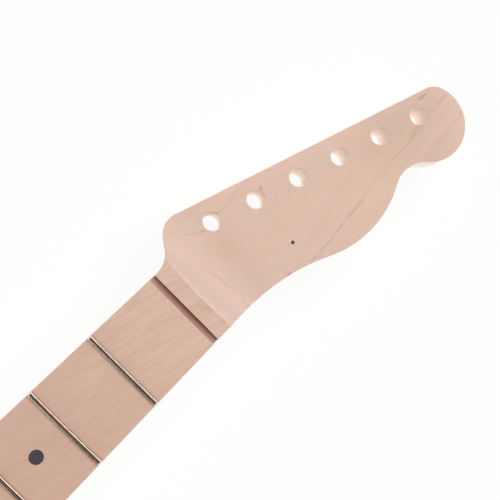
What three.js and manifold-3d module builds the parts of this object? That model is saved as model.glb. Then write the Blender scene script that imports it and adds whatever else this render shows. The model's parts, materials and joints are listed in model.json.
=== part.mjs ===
// A bare, unfinished electric guitar neck with a six-in-line headstock.
// Lengths are millimetres. Inside the neck group x is zero at the front edge of the nut slot and
// grows towards the headstock, y is the bass side and z is up, out of the fingerboard.
// The finished part stands on the middle of the four body screw holes on the heel's underside.
import * as THREE from 'three';
import { mergeVertices } from 'three/addons/utils/BufferGeometryUtils.js';
import Module from 'manifold-3d';

const wasm = await Module();
wasm.setup();

// String length and widths
const scaleLength = 647.7;
const fretsPerOctave = 12;
const fretCount = 21;
const lastFretToButt = 8.36;
const nutWidth = 41.4;
const heelWidth = 56;

// Fingerboard
const boardThickness = 6.35;
const boardRadius = 241.3;
const boardEnd = 10.9;
const nutSlotWidth = 3.2;
const nutSlotDepth = 3.6;

// Fret wire
const crownWidth = 2.45;
const crownHeight = 1.15;
const tangThickness = 0.5;
const tangDepth = 2;
const tangSideGap = 0.05;
const tangFloorGap = 0.4;
const fretSeatGap = 0.05;
const fretEndBevel = Math.PI / 6;

// Position markers
const dotDiameter = 6.35;
const dotThickness = 1.5;
const dotPairSpacing = 24;
const sideDotDiameter = 2.4;
const sideDotLength = 3;
const sideDotBelowEdge = 2.2;
const sideDotPairSpacing = 7.2;
const dotClearance = 0.08;
const markedFrets = [3, 5, 7, 9];
const doubleDotFret = fretsPerOctave;

// Neck blank, from the heel's underside up
const heelThickness = 25.4;
const heelLength = 76.2;
const heelRampLength = 40;
const firstFretDepth = 20.8;
const octaveFretDepth = 22.4;
const shoulderDrop = 0.5;

// Headstock
const headFaceDrop = 10.2;
const headThickness = 14;
const scoopRadius = 42;
const backBlendStart = -8;
const backBlendEnd = 36;
const tunerCount = 6;
const tunerHoleDiameter = 9.1;
const tunerSpacing = 24.25;
const firstTunerX = 41.1;
const firstTunerInset = 0.5;
const tunerLineAngle = THREE.MathUtils.degToRad(16.8);
const treeHoleDiameter = 2;
const treeHoleDepth = 9;
const treeHoleX = 62.5;
const treeHoleInset = 6.2;

// Headstock outline: its arcs, and how they lie to the neck's sides and the row of tuners
const tunerEdgeOffset = 11.17;
const bassFilletRadius = 13.1;
const bassFilletStart = 4.3;
const hornRadius = 11.8;
const hornFlatLength = 5.1;
const tipCornerRadius = 10.6;
const ballRadius = 20.55;
const ballRise = 3.96;
const ballPastLastTuner = 3.23;
const waistRadius = 17.55;
const bellyRadius = 57.5;
const bellyX = 96.3;
const bellyBeyondSide = 17.35;
const bellyStartAngle = THREE.MathUtils.degToRad(23.4);
const sweepStart = 6.7;
const sweepStartHandle = 42.8;
const sweepEndHandle = 12.4;

// Body screw holes
const screwSpanX = 50.8;
const screwSpanY = 38.1;
const screwHoleDiameter = 3.4;
const screwHoleDepth = 15;
const buttToScrewCentre = 38.1;

// Truss rod and the channel that it lies in
const channelEnd = -14;
const channelSideGap = 0.3;
const channelTopGap = 0.4;
const rodEndMargin = 2;
const rodDiameter = 4.4;
const threadClearance = 0.2;
const blockLength = 12;
const blockSideWall = 0.8;
const blockFloorWall = 1;
const blockTopWall = 1.1;
const barThickness = 3;
const barInset = 0.2;
const sleeveClearance = 0.25;
const sleeveWall = 0.45;
const sleeveEndGap = 0.3;
const keyNutDiameter = 8;
const keyNutLength = 10;
const keyNutInset = 2;
const keySocketAcrossFlats = 4;
const keySocketFloor = 3;
const keySocketSides = 6;
const pocketClearance = 0.5;
const pocketEndGap = 2;

// How finely curves are stepped, and how far a cutter runs past what it cuts
const backSideSteps = 4;
const backFloorSteps = 12;
const roofSteps = 20;
const fretSteps = 8;
const crownSteps = 6;
const holeSegments = 24;
const smallHoleSegments = 12;
const dotSegments = 20;
const arcSteps = 10;
const closestRings = 1.2;
const overrun = 2;

// Heights and places that follow from the sizes above
const glueZ = heelThickness - boardThickness;
const faceZ = heelThickness - headFaceDrop;
const headBackZ = faceZ - headThickness;
const scoopEnd = boardEnd + Math.sqrt(scoopRadius ** 2 - (scoopRadius - headFaceDrop) ** 2);

const fretX = (number) => scaleLength / 2 ** (number / fretsPerOctave) - scaleLength;
const buttX = fretX(fretCount) - lastFretToButt;
const halfNut = nutWidth / 2;
const halfHeelWidth = heelWidth / 2;
const sideTaper = (halfNut - halfHeelWidth) / buttX;

const halfWidthAt = (x) => halfNut - sideTaper * x;
const roofZ = (y) => heelThickness - boardRadius + Math.sqrt(boardRadius ** 2 - y ** 2);

// Materials
const finish = (color, roughness, metalness = 0) =>
  new THREE.MeshStandardMaterial({ color, roughness, metalness });
const neckMaple = finish(0xdcbeab, 0.62);
const boardMaple = finish(0xd5b39c, 0.58);
const fretMetal = finish(0xb9b6b0, 0.28, 1);
const markerPlastic = finish(0x3a383c, 0.4);
const rodSteel = finish(0x8c8f94, 0.38, 1);
const blockBrass = finish(0xb6925a, 0.4, 1);
const sleevePlastic = finish(0x1d1d20, 0.55);

// Solids and booleans
function solid(geometry) {
  const bare = geometry.clone();
  bare.deleteAttribute('normal');
  bare.deleteAttribute('uv');
  const merged = mergeVertices(bare);
  return new wasm.Manifold(new wasm.Mesh({
    numProp: 3,
    vertProperties: Float32Array.from(merged.attributes.position.array),
    triVerts: Uint32Array.from(merged.index.array),
  }));
}

function geometryOf(body) {
  const mesh = body.getMesh();
  const geometry = new THREE.BufferGeometry();
  geometry.setAttribute('position', new THREE.BufferAttribute(mesh.vertProperties, 3));
  geometry.setIndex(new THREE.BufferAttribute(mesh.triVerts, 1));
  geometry.computeVertexNormals();
  return geometry;
}

function cutAway(body, cutters) {
  return cutters.reduce((rest, cutter) => rest.subtract(solid(cutter)), body);
}

// A box between two corners
function block(low, high) {
  const size = new THREE.Vector3(...high).sub(new THREE.Vector3(...low));
  const middle = new THREE.Vector3(...high).add(new THREE.Vector3(...low)).divideScalar(2);
  return new THREE.BoxGeometry(size.x, size.y, size.z).translate(middle.x, middle.y, middle.z);
}

// A round bar along one axis, from a start place and with a length
function bar(axis, start, length, diameter, segments) {
  const geometry = new THREE.CylinderGeometry(diameter / 2, diameter / 2, length, segments);
  if (axis === 'x') geometry.rotateZ(-Math.PI / 2);
  if (axis === 'z') geometry.rotateX(Math.PI / 2);
  const middle = new THREE.Vector3(...start);
  middle[axis] += length / 2;
  return geometry.translate(middle.x, middle.y, middle.z);
}

// A flat shape drawn in x and z, given a width along y
function slabAcross(shape, halfWidth) {
  const geometry = new THREE.ExtrudeGeometry(shape, {
    depth: 2 * halfWidth,
    bevelEnabled: false,
    curveSegments: 2 * arcSteps,
  });
  return geometry.rotateX(Math.PI / 2).translate(0, halfWidth, 0);
}

// A closed body through rings that all have the same number of points, with its ends closed by
// fans round a hub, the middle of some of the end ring's points
function loft(rings, hubPoints = rings[0].length) {
  const count = rings[0].length;
  const hub = (ring) => ring.slice(0, hubPoints)
    .reduce((sum, point) => sum.add(point), new THREE.Vector3()).divideScalar(hubPoints);
  const points = [...rings.flat(), hub(rings[0]), hub(rings.at(-1))];
  const lastStart = (rings.length - 1) * count;
  const firstHub = rings.length * count;
  const lastHub = firstHub + 1;
  const index = [];
  for (let corner = 0; corner < count; corner++) {
    const next = (corner + 1) % count;
    for (let here = 0; here < lastStart; here += count) {
      const there = here + count;
      index.push(here + corner, there + corner, there + next);
      index.push(here + corner, there + next, here + next);
    }
    index.push(firstHub, corner, next);
    index.push(lastHub, lastStart + next, lastStart + corner);
  }
  const geometry = new THREE.BufferGeometry();
  const positions = points.flatMap((point) => [point.x, point.y, point.z]);
  geometry.setAttribute('position', new THREE.Float32BufferAttribute(positions, 3));
  geometry.setIndex(index);
  return geometry;
}

// Plane geometry for the outline
const towards = (angle) => new THREE.Vector2(Math.cos(angle), Math.sin(angle));
const along = (start, direction, distance) => start.clone().addScaledVector(direction, distance);

// Where circles round two centres meet, on the left or right of the line from a to b
function meeting(a, radiusA, b, radiusB, side) {
  const apart = a.distanceTo(b);
  const foot = (radiusA ** 2 - radiusB ** 2 + apart ** 2) / (2 * apart);
  const offset = Math.sqrt(radiusA ** 2 - foot ** 2) * side;
  const direction = b.clone().sub(a).normalize();
  const normal = new THREE.Vector2(-direction.y, direction.x);
  return along(along(a, direction, foot), normal, offset);
}

// Where a line gets as far from a centre as a distance, on its way out
function leaving(start, direction, centre, distance) {
  const fromCentre = start.clone().sub(centre);
  const forward = fromCentre.dot(direction);
  const reach = Math.sqrt(distance ** 2 - fromCentre.lengthSq() + forward ** 2);
  return along(start, direction, reach - forward);
}

// The points of the shorter arc from one place to another round a centre
function arcPoints(centre, from, to, steps) {
  const radius = centre.distanceTo(from);
  const start = from.clone().sub(centre).angle();
  let sweep = to.clone().sub(centre).angle() - start;
  if (sweep > Math.PI) sweep -= 2 * Math.PI;
  if (sweep < -Math.PI) sweep += 2 * Math.PI;
  return Array.from({ length: steps + 1 }, (_, i) =>
    along(centre, towards(start + (sweep * i) / steps), radius));
}

// The row of tuners, and the ball at the headstock's tip, which lies past the last of them
const tunerLine = towards(-tunerLineAngle);
const tunerNormal = new THREE.Vector2(-tunerLine.y, tunerLine.x);
const firstTuner = new THREE.Vector2(firstTunerX, halfNut - firstTunerInset);
const tunerCentre = (number) => along(firstTuner, tunerLine, tunerSpacing * number);
const ballRow = along(tunerCentre(tunerCount - 1), tunerLine, ballPastLastTuner);
const ballCentre = along(ballRow, tunerNormal, tunerEdgeOffset + ballRise - ballRadius);
const tip = new THREE.Vector2(ballCentre.x + ballRadius, ballCentre.y);

// The bass edge: straight side, hollow, horn, straight tuner edge and the corner of the tip
function bassEdge() {
  const side = new THREE.Vector2(1, -sideTaper).normalize();
  const outward = new THREE.Vector2(-side.y, side.x);
  const filletFrom = new THREE.Vector2(bassFilletStart, halfWidthAt(bassFilletStart));
  const filletCentre = along(filletFrom, outward, bassFilletRadius);

  const edge = along(firstTuner, tunerNormal, tunerEdgeOffset);
  const hornRow = along(edge, tunerNormal, -hornRadius);
  const bothRadii = bassFilletRadius + hornRadius;
  const hornCentre = leaving(hornRow, tunerLine, filletCentre, Math.hypot(bothRadii, hornFlatLength));
  const toHorn = hornCentre.clone().sub(filletCentre);
  const touch = towards(toHorn.angle() - Math.acos(bothRadii / toHorn.length()));

  const cornerRow = along(edge, tunerNormal, -tipCornerRadius);
  const cornerCentre = leaving(cornerRow, tunerLine, ballCentre, ballRadius - tipCornerRadius);
  const outFromBall = cornerCentre.clone().sub(ballCentre).normalize();
  const ballStart = along(ballCentre, outFromBall, ballRadius);

  return [
    new THREE.Vector2(buttX, halfHeelWidth),
    ...arcPoints(filletCentre, filletFrom, along(filletCentre, touch, bassFilletRadius), arcSteps),
    ...arcPoints(hornCentre, along(hornCentre, touch, -hornRadius),
      along(hornCentre, tunerNormal, hornRadius), arcSteps),
    ...arcPoints(cornerCentre, along(cornerCentre, tunerNormal, tipCornerRadius), ballStart,
      arcSteps),
    ...arcPoints(ballCentre, ballStart, tip, arcSteps).slice(1),
  ];
}

// The treble edge: straight side, long sweep, belly, waist and the round of the tip
function trebleEdge() {
  const bellyCentre = new THREE.Vector2(bellyX, bellyRadius - halfNut - bellyBeyondSide);
  const waistCentre = meeting(bellyCentre, bellyRadius + waistRadius,
    ballCentre, ballRadius + waistRadius, -1);
  const toBelly = bellyCentre.clone().sub(waistCentre).normalize();
  const toBall = ballCentre.clone().sub(waistCentre).normalize();
  const bellyFrom = along(bellyCentre, towards(-Math.PI / 2 - bellyStartAngle), bellyRadius);
  const sweepFrom = new THREE.Vector2(sweepStart, -halfWidthAt(sweepStart));
  const sweep = new THREE.CubicBezierCurve(
    sweepFrom,
    along(sweepFrom, towards(0), sweepStartHandle),
    along(bellyFrom, towards(-bellyStartAngle), -sweepEndHandle),
    bellyFrom,
  );
  return [
    new THREE.Vector2(buttX, -halfHeelWidth),
    ...sweep.getPoints(arcSteps),
    ...arcPoints(bellyCentre, bellyFrom, along(waistCentre, toBelly, waistRadius),
      2 * arcSteps).slice(1),
    ...arcPoints(waistCentre, along(waistCentre, toBelly, waistRadius),
      along(waistCentre, toBall, waistRadius), arcSteps).slice(1),
    ...arcPoints(ballCentre, along(waistCentre, toBall, waistRadius), tip, 2 * arcSteps).slice(1),
  ];
}

const bass = bassEdge();
const treble = trebleEdge();
const sideReach = Math.max(...[...bass, ...treble].map((point) => Math.abs(point.y))) + overrun;

// The y of an edge at some x, between its points
function edgeAt(points, x) {
  const after = Math.max(1, points.findIndex((point) => point.x >= x));
  const [a, b] = [points[after - 1], points[after]];
  return THREE.MathUtils.mapLinear(x, a.x, b.x, a.y, b.y);
}

// Neck: sections from the butt to the tip, then the cuts
const ramp = (x, from, to) => THREE.MathUtils.smoothstep(x, from, to);
const rampStart = buttX + heelLength;
const rampEnd = rampStart + heelRampLength;

// How low the back lies along the neck
function backZ(x) {
  const depthSlope = (octaveFretDepth - firstFretDepth) / (fretX(1) - fretX(fretsPerOctave));
  const shaft = heelThickness - firstFretDepth - depthSlope * (fretX(1) - x);
  const fromHeel = THREE.MathUtils.lerp(0, shaft, ramp(x, rampStart, rampEnd));
  return THREE.MathUtils.lerp(fromHeel, headBackZ, ramp(x, backBlendStart, backBlendEnd));
}

// How square the back is: one on the heel and headstock, zero where the hand goes
function squareness(x) {
  return Math.max(1 - ramp(x, rampStart, rampEnd), ramp(x, backBlendStart, backBlendEnd));
}

function neckRing(x) {
  const high = edgeAt(bass, x);
  const low = edgeAt(treble, x);
  const middle = (high + low) / 2;
  const half = (high - low) / 2;
  const shoulder = glueZ - shoulderDrop;
  const fall = shoulder - backZ(x);
  const steps = 2 * backSideSteps + backFloorSteps;
  const square = squareness(x);
  const ring = [new THREE.Vector3(x, low, heelThickness + overrun)];
  ring.push(new THREE.Vector3(x, high, heelThickness + overrun));
  for (let step = 0; step <= steps; step++) {
    const angle = (Math.PI * step) / steps;
    const sideShare = Math.min(step, steps - step) / backSideSteps;
    const floorShare = (step - backSideSteps) / backFloorSteps;
    const acrossShare = THREE.MathUtils.clamp(1 - 2 * floorShare, -1, 1);
    const y = THREE.MathUtils.lerp(Math.cos(angle), acrossShare, square);
    const z = THREE.MathUtils.lerp(Math.sin(angle), Math.min(sideShare, 1), square);
    ring.push(new THREE.Vector3(x, middle + half * y, shoulder - fall * z));
  }
  return ring;
}

function between(from, to, steps) {
  return Array.from({ length: steps }, (_, i) => THREE.MathUtils.lerp(from, to, i / steps));
}

// The rings reach to where the back is flat. There the headstock slab carries on from their face.
function neckStations() {
  const outline = [...bass, ...treble].map((point) => point.x);
  const places = [
    buttX,
    ...between(rampStart, rampEnd, arcSteps),
    rampEnd,
    fretX(fretsPerOctave),
    fretX(fretsPerOctave / 2),
    fretX(1),
    ...between(backBlendStart, backBlendEnd, 2 * arcSteps),
    ...outline.filter((x) => x > backBlendStart && x < backBlendEnd),
  ];
  places.sort((a, b) => a - b);
  const apart = places.filter((x, i) => i === 0 || x - places[i - 1] > closestRings);
  return [...apart.filter((x) => backBlendEnd - x > closestRings), backBlendEnd];
}

function headstockSlab() {
  const start = backBlendEnd;
  const shape = new THREE.Shape();
  shape.setFromPoints([
    new THREE.Vector2(start, edgeAt(treble, start)),
    ...treble.filter((point) => point.x > start),
    ...bass.filter((point) => point.x > start).reverse().slice(1),
    new THREE.Vector2(start, edgeAt(bass, start)),
  ]);
  const depth = heelThickness + overrun - headBackZ;
  const geometry = new THREE.ExtrudeGeometry(shape, { depth, bevelEnabled: false });
  return geometry.translate(0, 0, headBackZ);
}

// The wood above the board's radius
function roof() {
  const shape = new THREE.Shape();
  const lowest = Math.min(0, headBackZ) - overrun;
  shape.moveTo(-sideReach, lowest);
  shape.lineTo(sideReach, lowest);
  for (let step = 0; step <= roofSteps; step++) {
    const y = THREE.MathUtils.lerp(sideReach, -sideReach, step / roofSteps);
    shape.lineTo(y, roofZ(y));
  }
  const length = tip.x - buttX + 2 * overrun;
  const geometry = new THREE.ExtrudeGeometry(shape, { depth: length, bevelEnabled: false });
  geometry.rotateX(Math.PI / 2).rotateZ(Math.PI / 2);
  return geometry.translate(buttX - overrun, 0, 0);
}

// All that lies over the headstock's face and the scoop behind the nut
function faceCut() {
  const shape = new THREE.Shape();
  const top = heelThickness + scoopRadius;
  const centreZ = faceZ + scoopRadius;
  const startAngle = Math.atan2(heelThickness - centreZ, boardEnd - scoopEnd);
  shape.moveTo(boardEnd, heelThickness);
  shape.absarc(scoopEnd, centreZ, scoopRadius, startAngle, -Math.PI / 2, false);
  shape.lineTo(tip.x + overrun, faceZ);
  shape.lineTo(tip.x + overrun, top);
  shape.lineTo(boardEnd, top);
  return slabAcross(shape, sideReach);
}

function tunerHole(number) {
  const centre = tunerCentre(number);
  const start = [centre.x, centre.y, headBackZ - overrun];
  return bar('z', start, headThickness + 2 * overrun, tunerHoleDiameter, holeSegments);
}

function screwHole(signX, signY) {
  const x = buttX + buttToScrewCentre + (signX * screwSpanX) / 2;
  const start = [x, (signY * screwSpanY) / 2, -overrun];
  return bar('z', start, screwHoleDepth + overrun, screwHoleDiameter, smallHoleSegments);
}

function neckGeometry() {
  const bed = block([buttX - overrun, -sideReach, glueZ],
    [boardEnd, sideReach, heelThickness + 2 * overrun]);
  const channel = block([buttX - overrun, -channelWidth / 2, channelFloor],
    [channelEnd, channelWidth / 2, glueZ + overrun]);
  const pocket = bar('x', [buttX - overrun, 0, rodZ], rearBlockStart - buttX + overrun,
    keyNutDiameter + 2 * pocketClearance, holeSegments);
  const treeStart = [treeHoleX, treeHoleInset - halfNut, faceZ - treeHoleDepth];
  const treeHole = bar('z', treeStart, treeHoleDepth + overrun, treeHoleDiameter,
    smallHoleSegments);
  const holes = Array.from({ length: tunerCount }, (_, number) => tunerHole(number));
  const screws = [[1, 1], [1, -1], [-1, 1], [-1, -1]].map(([x, y]) => screwHole(x, y));
  const shaft = solid(loft(neckStations().map(neckRing)));
  const body = shaft.add(solid(headstockSlab())).intersect(solid(roof()));
  return geometryOf(cutAway(body, [bed, faceCut(), channel, pocket, treeHole, ...holes, ...screws]));
}

// Fingerboard
function boardBlank() {
  const shape = new THREE.Shape();
  const bassPart = bass.filter((point) => point.x < boardEnd);
  const treblePart = treble.filter((point) => point.x < boardEnd).reverse();
  bassPart.push(new THREE.Vector2(boardEnd, edgeAt(bass, boardEnd)));
  shape.setFromPoints([...bassPart, new THREE.Vector2(boardEnd, edgeAt(treble, boardEnd)),
    ...treblePart]);
  const geometry = new THREE.ExtrudeGeometry(shape, { depth: boardThickness, bevelEnabled: false });
  return geometry.translate(0, 0, glueZ);
}

const gapMiddle = (fret) => (fretX(fret - 1) + fretX(fret)) / 2;

// The same frets are marked in the second octave as in the first
const singleDotFrets = [...markedFrets, ...markedFrets.map((fret) => fret + fretsPerOctave)]
  .filter((fret) => fret <= fretCount);

// Where the markers are: one in most marked gaps, a pair at the octave
function markerPlaces() {
  const places = singleDotFrets.map((fret) => ({ name: fretName(fret), x: gapMiddle(fret), y: 0 }));
  for (const [side, sign] of [['bass', 1], ['treble', -1]]) {
    const name = `${fretName(doubleDotFret)}_${side}`;
    places.push({ name, x: gapMiddle(doubleDotFret), y: (sign * dotPairSpacing) / 2 });
  }
  return places;
}

// Side dots: the octave pair lies one behind the other along the edge
function sideMarkerPlaces() {
  const places = singleDotFrets.map((fret) => ({ name: fretName(fret), x: gapMiddle(fret) }));
  for (const [end, sign] of [['front', 1], ['rear', -1]]) {
    const x = gapMiddle(doubleDotFret) + (sign * sideDotPairSpacing) / 2;
    places.push({ name: `${fretName(doubleDotFret)}_${end}`, x });
  }
  return places;
}

function fretName(number) {
  return String(number).padStart(2, '0');
}

function dotBar(place, diameter, depth) {
  const start = [place.x, place.y, roofZ(place.y) - depth];
  return bar('z', start, depth + overrun, diameter, dotSegments);
}

function sideDotBar(place, diameter, depth, proud) {
  const edge = halfWidthAt(place.x);
  const z = roofZ(edge) - sideDotBelowEdge;
  return bar('y', [place.x, edge - depth, z], depth + proud, diameter, smallHoleSegments);
}

function boardGeometry() {
  const top = heelThickness + overrun;
  const nutSlot = block([0, -sideReach, heelThickness - nutSlotDepth],
    [nutSlotWidth, sideReach, top]);
  const fretSlots = Array.from({ length: fretCount }, (_, i) => {
    const x = fretX(i + 1);
    const half = tangThickness / 2 + tangSideGap;
    const floor = roofZ(halfHeelWidth) - tangDepth - tangFloorGap;
    return block([x - half, -sideReach, floor], [x + half, sideReach, top]);
  });
  const pockets = markerPlaces().map((place) =>
    dotBar(place, dotDiameter + 2 * dotClearance, dotThickness + dotClearance));
  const sideHoles = sideMarkerPlaces().map((place) =>
    sideDotBar(place, sideDotDiameter + 2 * dotClearance, sideDotLength + dotClearance, overrun));
  const body = solid(boardBlank()).intersect(solid(roof()));
  return geometryOf(cutAway(body, [nutSlot, ...fretSlots, ...pockets, ...sideHoles]));
}

// Frets: one wire section, bent over the board's radius, with its ends filed at an angle
function fretSection() {
  const crown = Array.from({ length: crownSteps + 1 }, (_, step) => {
    const angle = (Math.PI * step) / crownSteps;
    const rise = (crownHeight - fretSeatGap) * Math.sin(angle);
    return { x: (crownWidth / 2) * Math.cos(angle), z: fretSeatGap + rise };
  });
  const half = tangThickness / 2;
  return [
    ...crown,
    { x: -half, z: fretSeatGap },
    { x: -half, z: -tangDepth },
    { x: half, z: -tangDepth },
    { x: half, z: fretSeatGap },
  ];
}

function fretGeometry(number) {
  const x = fretX(number);
  const halfLength = halfWidthAt(x + crownWidth / 2);
  const section = fretSection();
  const rings = Array.from({ length: fretSteps + 1 }, (_, step) => {
    const acrossShare = THREE.MathUtils.lerp(-1, 1, step / fretSteps);
    return section.map((point) => {
      const bevelled = halfLength - Math.max(point.z, 0) * Math.tan(fretEndBevel);
      const y = acrossShare * bevelled;
      return new THREE.Vector3(x + point.x, y, roofZ(y) + point.z);
    });
  });
  return loft(rings, crownSteps + 1);
}

// Truss rod: a screw under a flat bar, joined by a block at each end, with a key nut at the heel.
// The channel in the neck takes its size from them.
const threadDiameter = rodDiameter + 2 * threadClearance;
const blockWidth = threadDiameter + 2 * blockSideWall;
const blockHeight = threadDiameter + blockFloorWall + blockTopWall;
const channelWidth = blockWidth + 2 * channelSideGap;
const channelFloor = glueZ - channelTopGap - barThickness - blockHeight;
const rodZ = channelFloor + blockFloorWall + threadDiameter / 2;
const barZ = channelFloor + blockHeight;
const keyNutStart = buttX + keyNutInset;
const rodStart = keyNutStart + keyNutLength;
const rodLength = channelEnd - rodEndMargin - rodStart;
const rearBlockStart = rodStart + pocketEndGap;
const frontBlockStart = channelEnd - rodEndMargin - blockLength;

function rodGeometry() {
  return bar('x', [rodStart, 0, rodZ], rodLength, rodDiameter, holeSegments);
}

function blockGeometry(start) {
  const body = block([start, -blockWidth / 2, channelFloor],
    [start + blockLength, blockWidth / 2, barZ]);
  const thread = bar('x', [start - overrun, 0, rodZ], blockLength + 2 * overrun, threadDiameter,
    holeSegments);
  return geometryOf(cutAway(solid(body), [thread]));
}

function flatBarGeometry() {
  const half = blockWidth / 2 - barInset;
  return block([rearBlockStart, -half, barZ],
    [frontBlockStart + blockLength, half, barZ + barThickness]);
}

function sleeveGeometry() {
  const start = rearBlockStart + blockLength + sleeveEndGap;
  const length = frontBlockStart - sleeveEndGap - start;
  const bore = rodDiameter + 2 * sleeveClearance;
  const outside = bar('x', [start, 0, rodZ], length, bore + 2 * sleeveWall, holeSegments);
  const inside = bar('x', [start - overrun, 0, rodZ], length + 2 * overrun, bore, holeSegments);
  return geometryOf(cutAway(solid(outside), [inside]));
}

function keyNutGeometry() {
  const body = bar('x', [keyNutStart, 0, rodZ], keyNutLength, keyNutDiameter, holeSegments);
  const acrossCorners = keySocketAcrossFlats / Math.cos(Math.PI / keySocketSides);
  const depth = keyNutLength - keySocketFloor;
  const socket = bar('x', [keyNutStart - overrun, 0, rodZ], depth + overrun, acrossCorners,
    keySocketSides);
  return geometryOf(cutAway(solid(body), [socket]));
}

// Assembly
const neckGroup = new THREE.Group();
neckGroup.position.x = -buttX - buttToScrewCentre;

function add(name, geometry, material) {
  const mesh = new THREE.Mesh(geometry, material);
  mesh.name = name;
  neckGroup.add(mesh);
}

add('neck', neckGeometry(), neckMaple);
add('fingerboard', boardGeometry(), boardMaple);
for (let number = 1; number <= fretCount; number++) {
  add(`fret_${fretName(number)}`, fretGeometry(number), fretMetal);
}
const dotRoof = solid(roof());
for (const place of markerPlaces()) {
  const dot = solid(dotBar(place, dotDiameter, dotThickness)).intersect(dotRoof);
  add(`face_dot_${place.name}`, geometryOf(dot), markerPlastic);
}
for (const place of sideMarkerPlaces()) {
  add(`side_dot_${place.name}`, sideDotBar(place, sideDotDiameter, sideDotLength, 0), markerPlastic);
}
add('truss_rod_screw', rodGeometry(), rodSteel);
add('truss_rod_key_nut', keyNutGeometry(), rodSteel);
add('truss_rod_flat_bar', flatBarGeometry(), rodSteel);
add('truss_rod_front_block', blockGeometry(frontBlockStart), blockBrass);
add('truss_rod_rear_block', blockGeometry(rearBlockStart), blockBrass);
add('truss_rod_sleeve', sleeveGeometry(), sleevePlastic);

const group = new THREE.Group();
group.add(neckGroup);
export default group;
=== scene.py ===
# %% [markdown]
# # A bare electric guitar neck
# This lesson makes a maple guitar neck as a workshop does: a blank is shaped, its headstock is
# sawn and drilled, a fingerboard is radiused, slotted and inlaid, and frets are bent and pressed
# in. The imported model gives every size, so it is loaded first. It is in metres, with x along the
# neck towards the headstock, y towards the bass side and z up, out of the fingerboard.

# %% Load the frame
import json
import math
from functools import partialmethod

import bmesh
import bpy
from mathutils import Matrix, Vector

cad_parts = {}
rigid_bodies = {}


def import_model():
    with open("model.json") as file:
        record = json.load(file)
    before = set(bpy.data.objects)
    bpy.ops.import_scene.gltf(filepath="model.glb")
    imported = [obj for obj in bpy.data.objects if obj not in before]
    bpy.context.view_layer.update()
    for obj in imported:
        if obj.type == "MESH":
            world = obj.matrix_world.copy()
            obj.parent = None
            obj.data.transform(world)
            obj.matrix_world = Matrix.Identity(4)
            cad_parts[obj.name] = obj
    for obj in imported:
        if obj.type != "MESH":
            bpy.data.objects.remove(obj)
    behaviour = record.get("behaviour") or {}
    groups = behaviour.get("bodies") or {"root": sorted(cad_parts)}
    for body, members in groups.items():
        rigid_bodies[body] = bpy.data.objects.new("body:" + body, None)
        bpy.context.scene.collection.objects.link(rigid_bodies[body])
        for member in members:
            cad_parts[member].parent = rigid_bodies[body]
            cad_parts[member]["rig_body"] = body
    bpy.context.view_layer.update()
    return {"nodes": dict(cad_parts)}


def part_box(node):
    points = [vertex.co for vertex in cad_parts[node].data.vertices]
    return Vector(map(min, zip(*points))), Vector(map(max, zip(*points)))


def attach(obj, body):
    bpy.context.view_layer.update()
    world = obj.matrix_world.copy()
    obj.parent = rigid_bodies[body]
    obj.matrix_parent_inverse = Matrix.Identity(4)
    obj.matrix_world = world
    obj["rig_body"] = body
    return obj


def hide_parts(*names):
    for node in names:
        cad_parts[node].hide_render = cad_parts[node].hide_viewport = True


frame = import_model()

MM = 0.001
FRETS = sorted(name for name in frame["nodes"] if name.startswith("fret_"))
FACE_DOTS = sorted(name for name in frame["nodes"] if name.startswith("face_dot_"))
SIDE_DOTS = sorted(name for name in frame["nodes"] if name.startswith("side_dot_"))
print(len(FRETS), "frets,", len(FACE_DOTS), "face dots and", len(SIDE_DOTS), "side dots")

# %% [markdown]
# ## Camera
# The photograph looks down on the headstock from about 30 cm, almost square on, with the neck
# running from the lower left to the upper right. A camera keeps that view best when its place,
# turn and lens are written as plain numbers, and all else is judged through it.

# %% Set up the camera
CAMERA_PLACE = (0.414946, 0.012899, 0.309658)
CAMERA_TURN = (5.4, -9.56, -45.09)
CAMERA_LENS = 44.763

camera = bpy.data.objects.new("camera", bpy.data.cameras.new("camera"))
bpy.context.scene.collection.objects.link(camera)
camera.location = CAMERA_PLACE
camera.rotation_euler = [math.radians(angle) for angle in CAMERA_TURN]
camera.data.lens = CAMERA_LENS
camera.data.clip_start = 1 * MM
bpy.context.scene.camera = camera
bpy.context.scene.view_settings.view_transform = "Standard"
print("camera", round(camera.location.z / MM), "mm above the heel")

# %% [markdown]
# ## Reading the neck's main places
# Heights and ends come from the boxes of the frame's pieces, so the new pieces land exactly on
# them. The few sizes that a box can't tell, such as how far the board runs past the nut, are
# named here.

# %% Find the main places
board_low, board_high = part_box("fingerboard")
BOARD_PAST_NUT = 10.9 * MM
BOARD_RADIUS = 241.3 * MM
FACE_DROP = 10.2 * MM
HEAD_THICKNESS = 14 * MM
NUT_HALF = 20.7 * MM
HEEL_HALF = 28 * MM

butt = board_low.x
board_end = board_high.x
nut = board_end - BOARD_PAST_NUT
glue = board_low.z
crown = board_high.z
face = crown - FACE_DROP
head_back = face - HEAD_THICKNESS
taper = (HEEL_HALF - NUT_HALF) / (nut - butt)


def middle_of(node):
    """The middle of a CAD node's box."""
    return sum(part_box(node), Vector()) / 2


def roof(y):
    """The height of the fingerboard's top, which is a slice of a large cylinder."""
    return crown - BOARD_RADIUS + math.sqrt(BOARD_RADIUS ** 2 - y ** 2)


def half_width(x):
    """Half the neck's width at some x."""
    return NUT_HALF + taper * (nut - x)


print("nut at", round(nut / MM, 2), "mm, glue plane at", round(glue / MM, 2), "mm")

# %% [markdown]
# ## The outline of the headstock
# The outline is drawn as a draughtsman does, with straight lines and arcs that run into each
# other. On the bass side these are a hollow, the horn, the straight edge beside the tuners and
# the corner of the tip. On the treble side they are a long sweep, the belly, a hollow waist and
# the ball of the tip. Each arc needs only its radius and what it touches.

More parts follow.
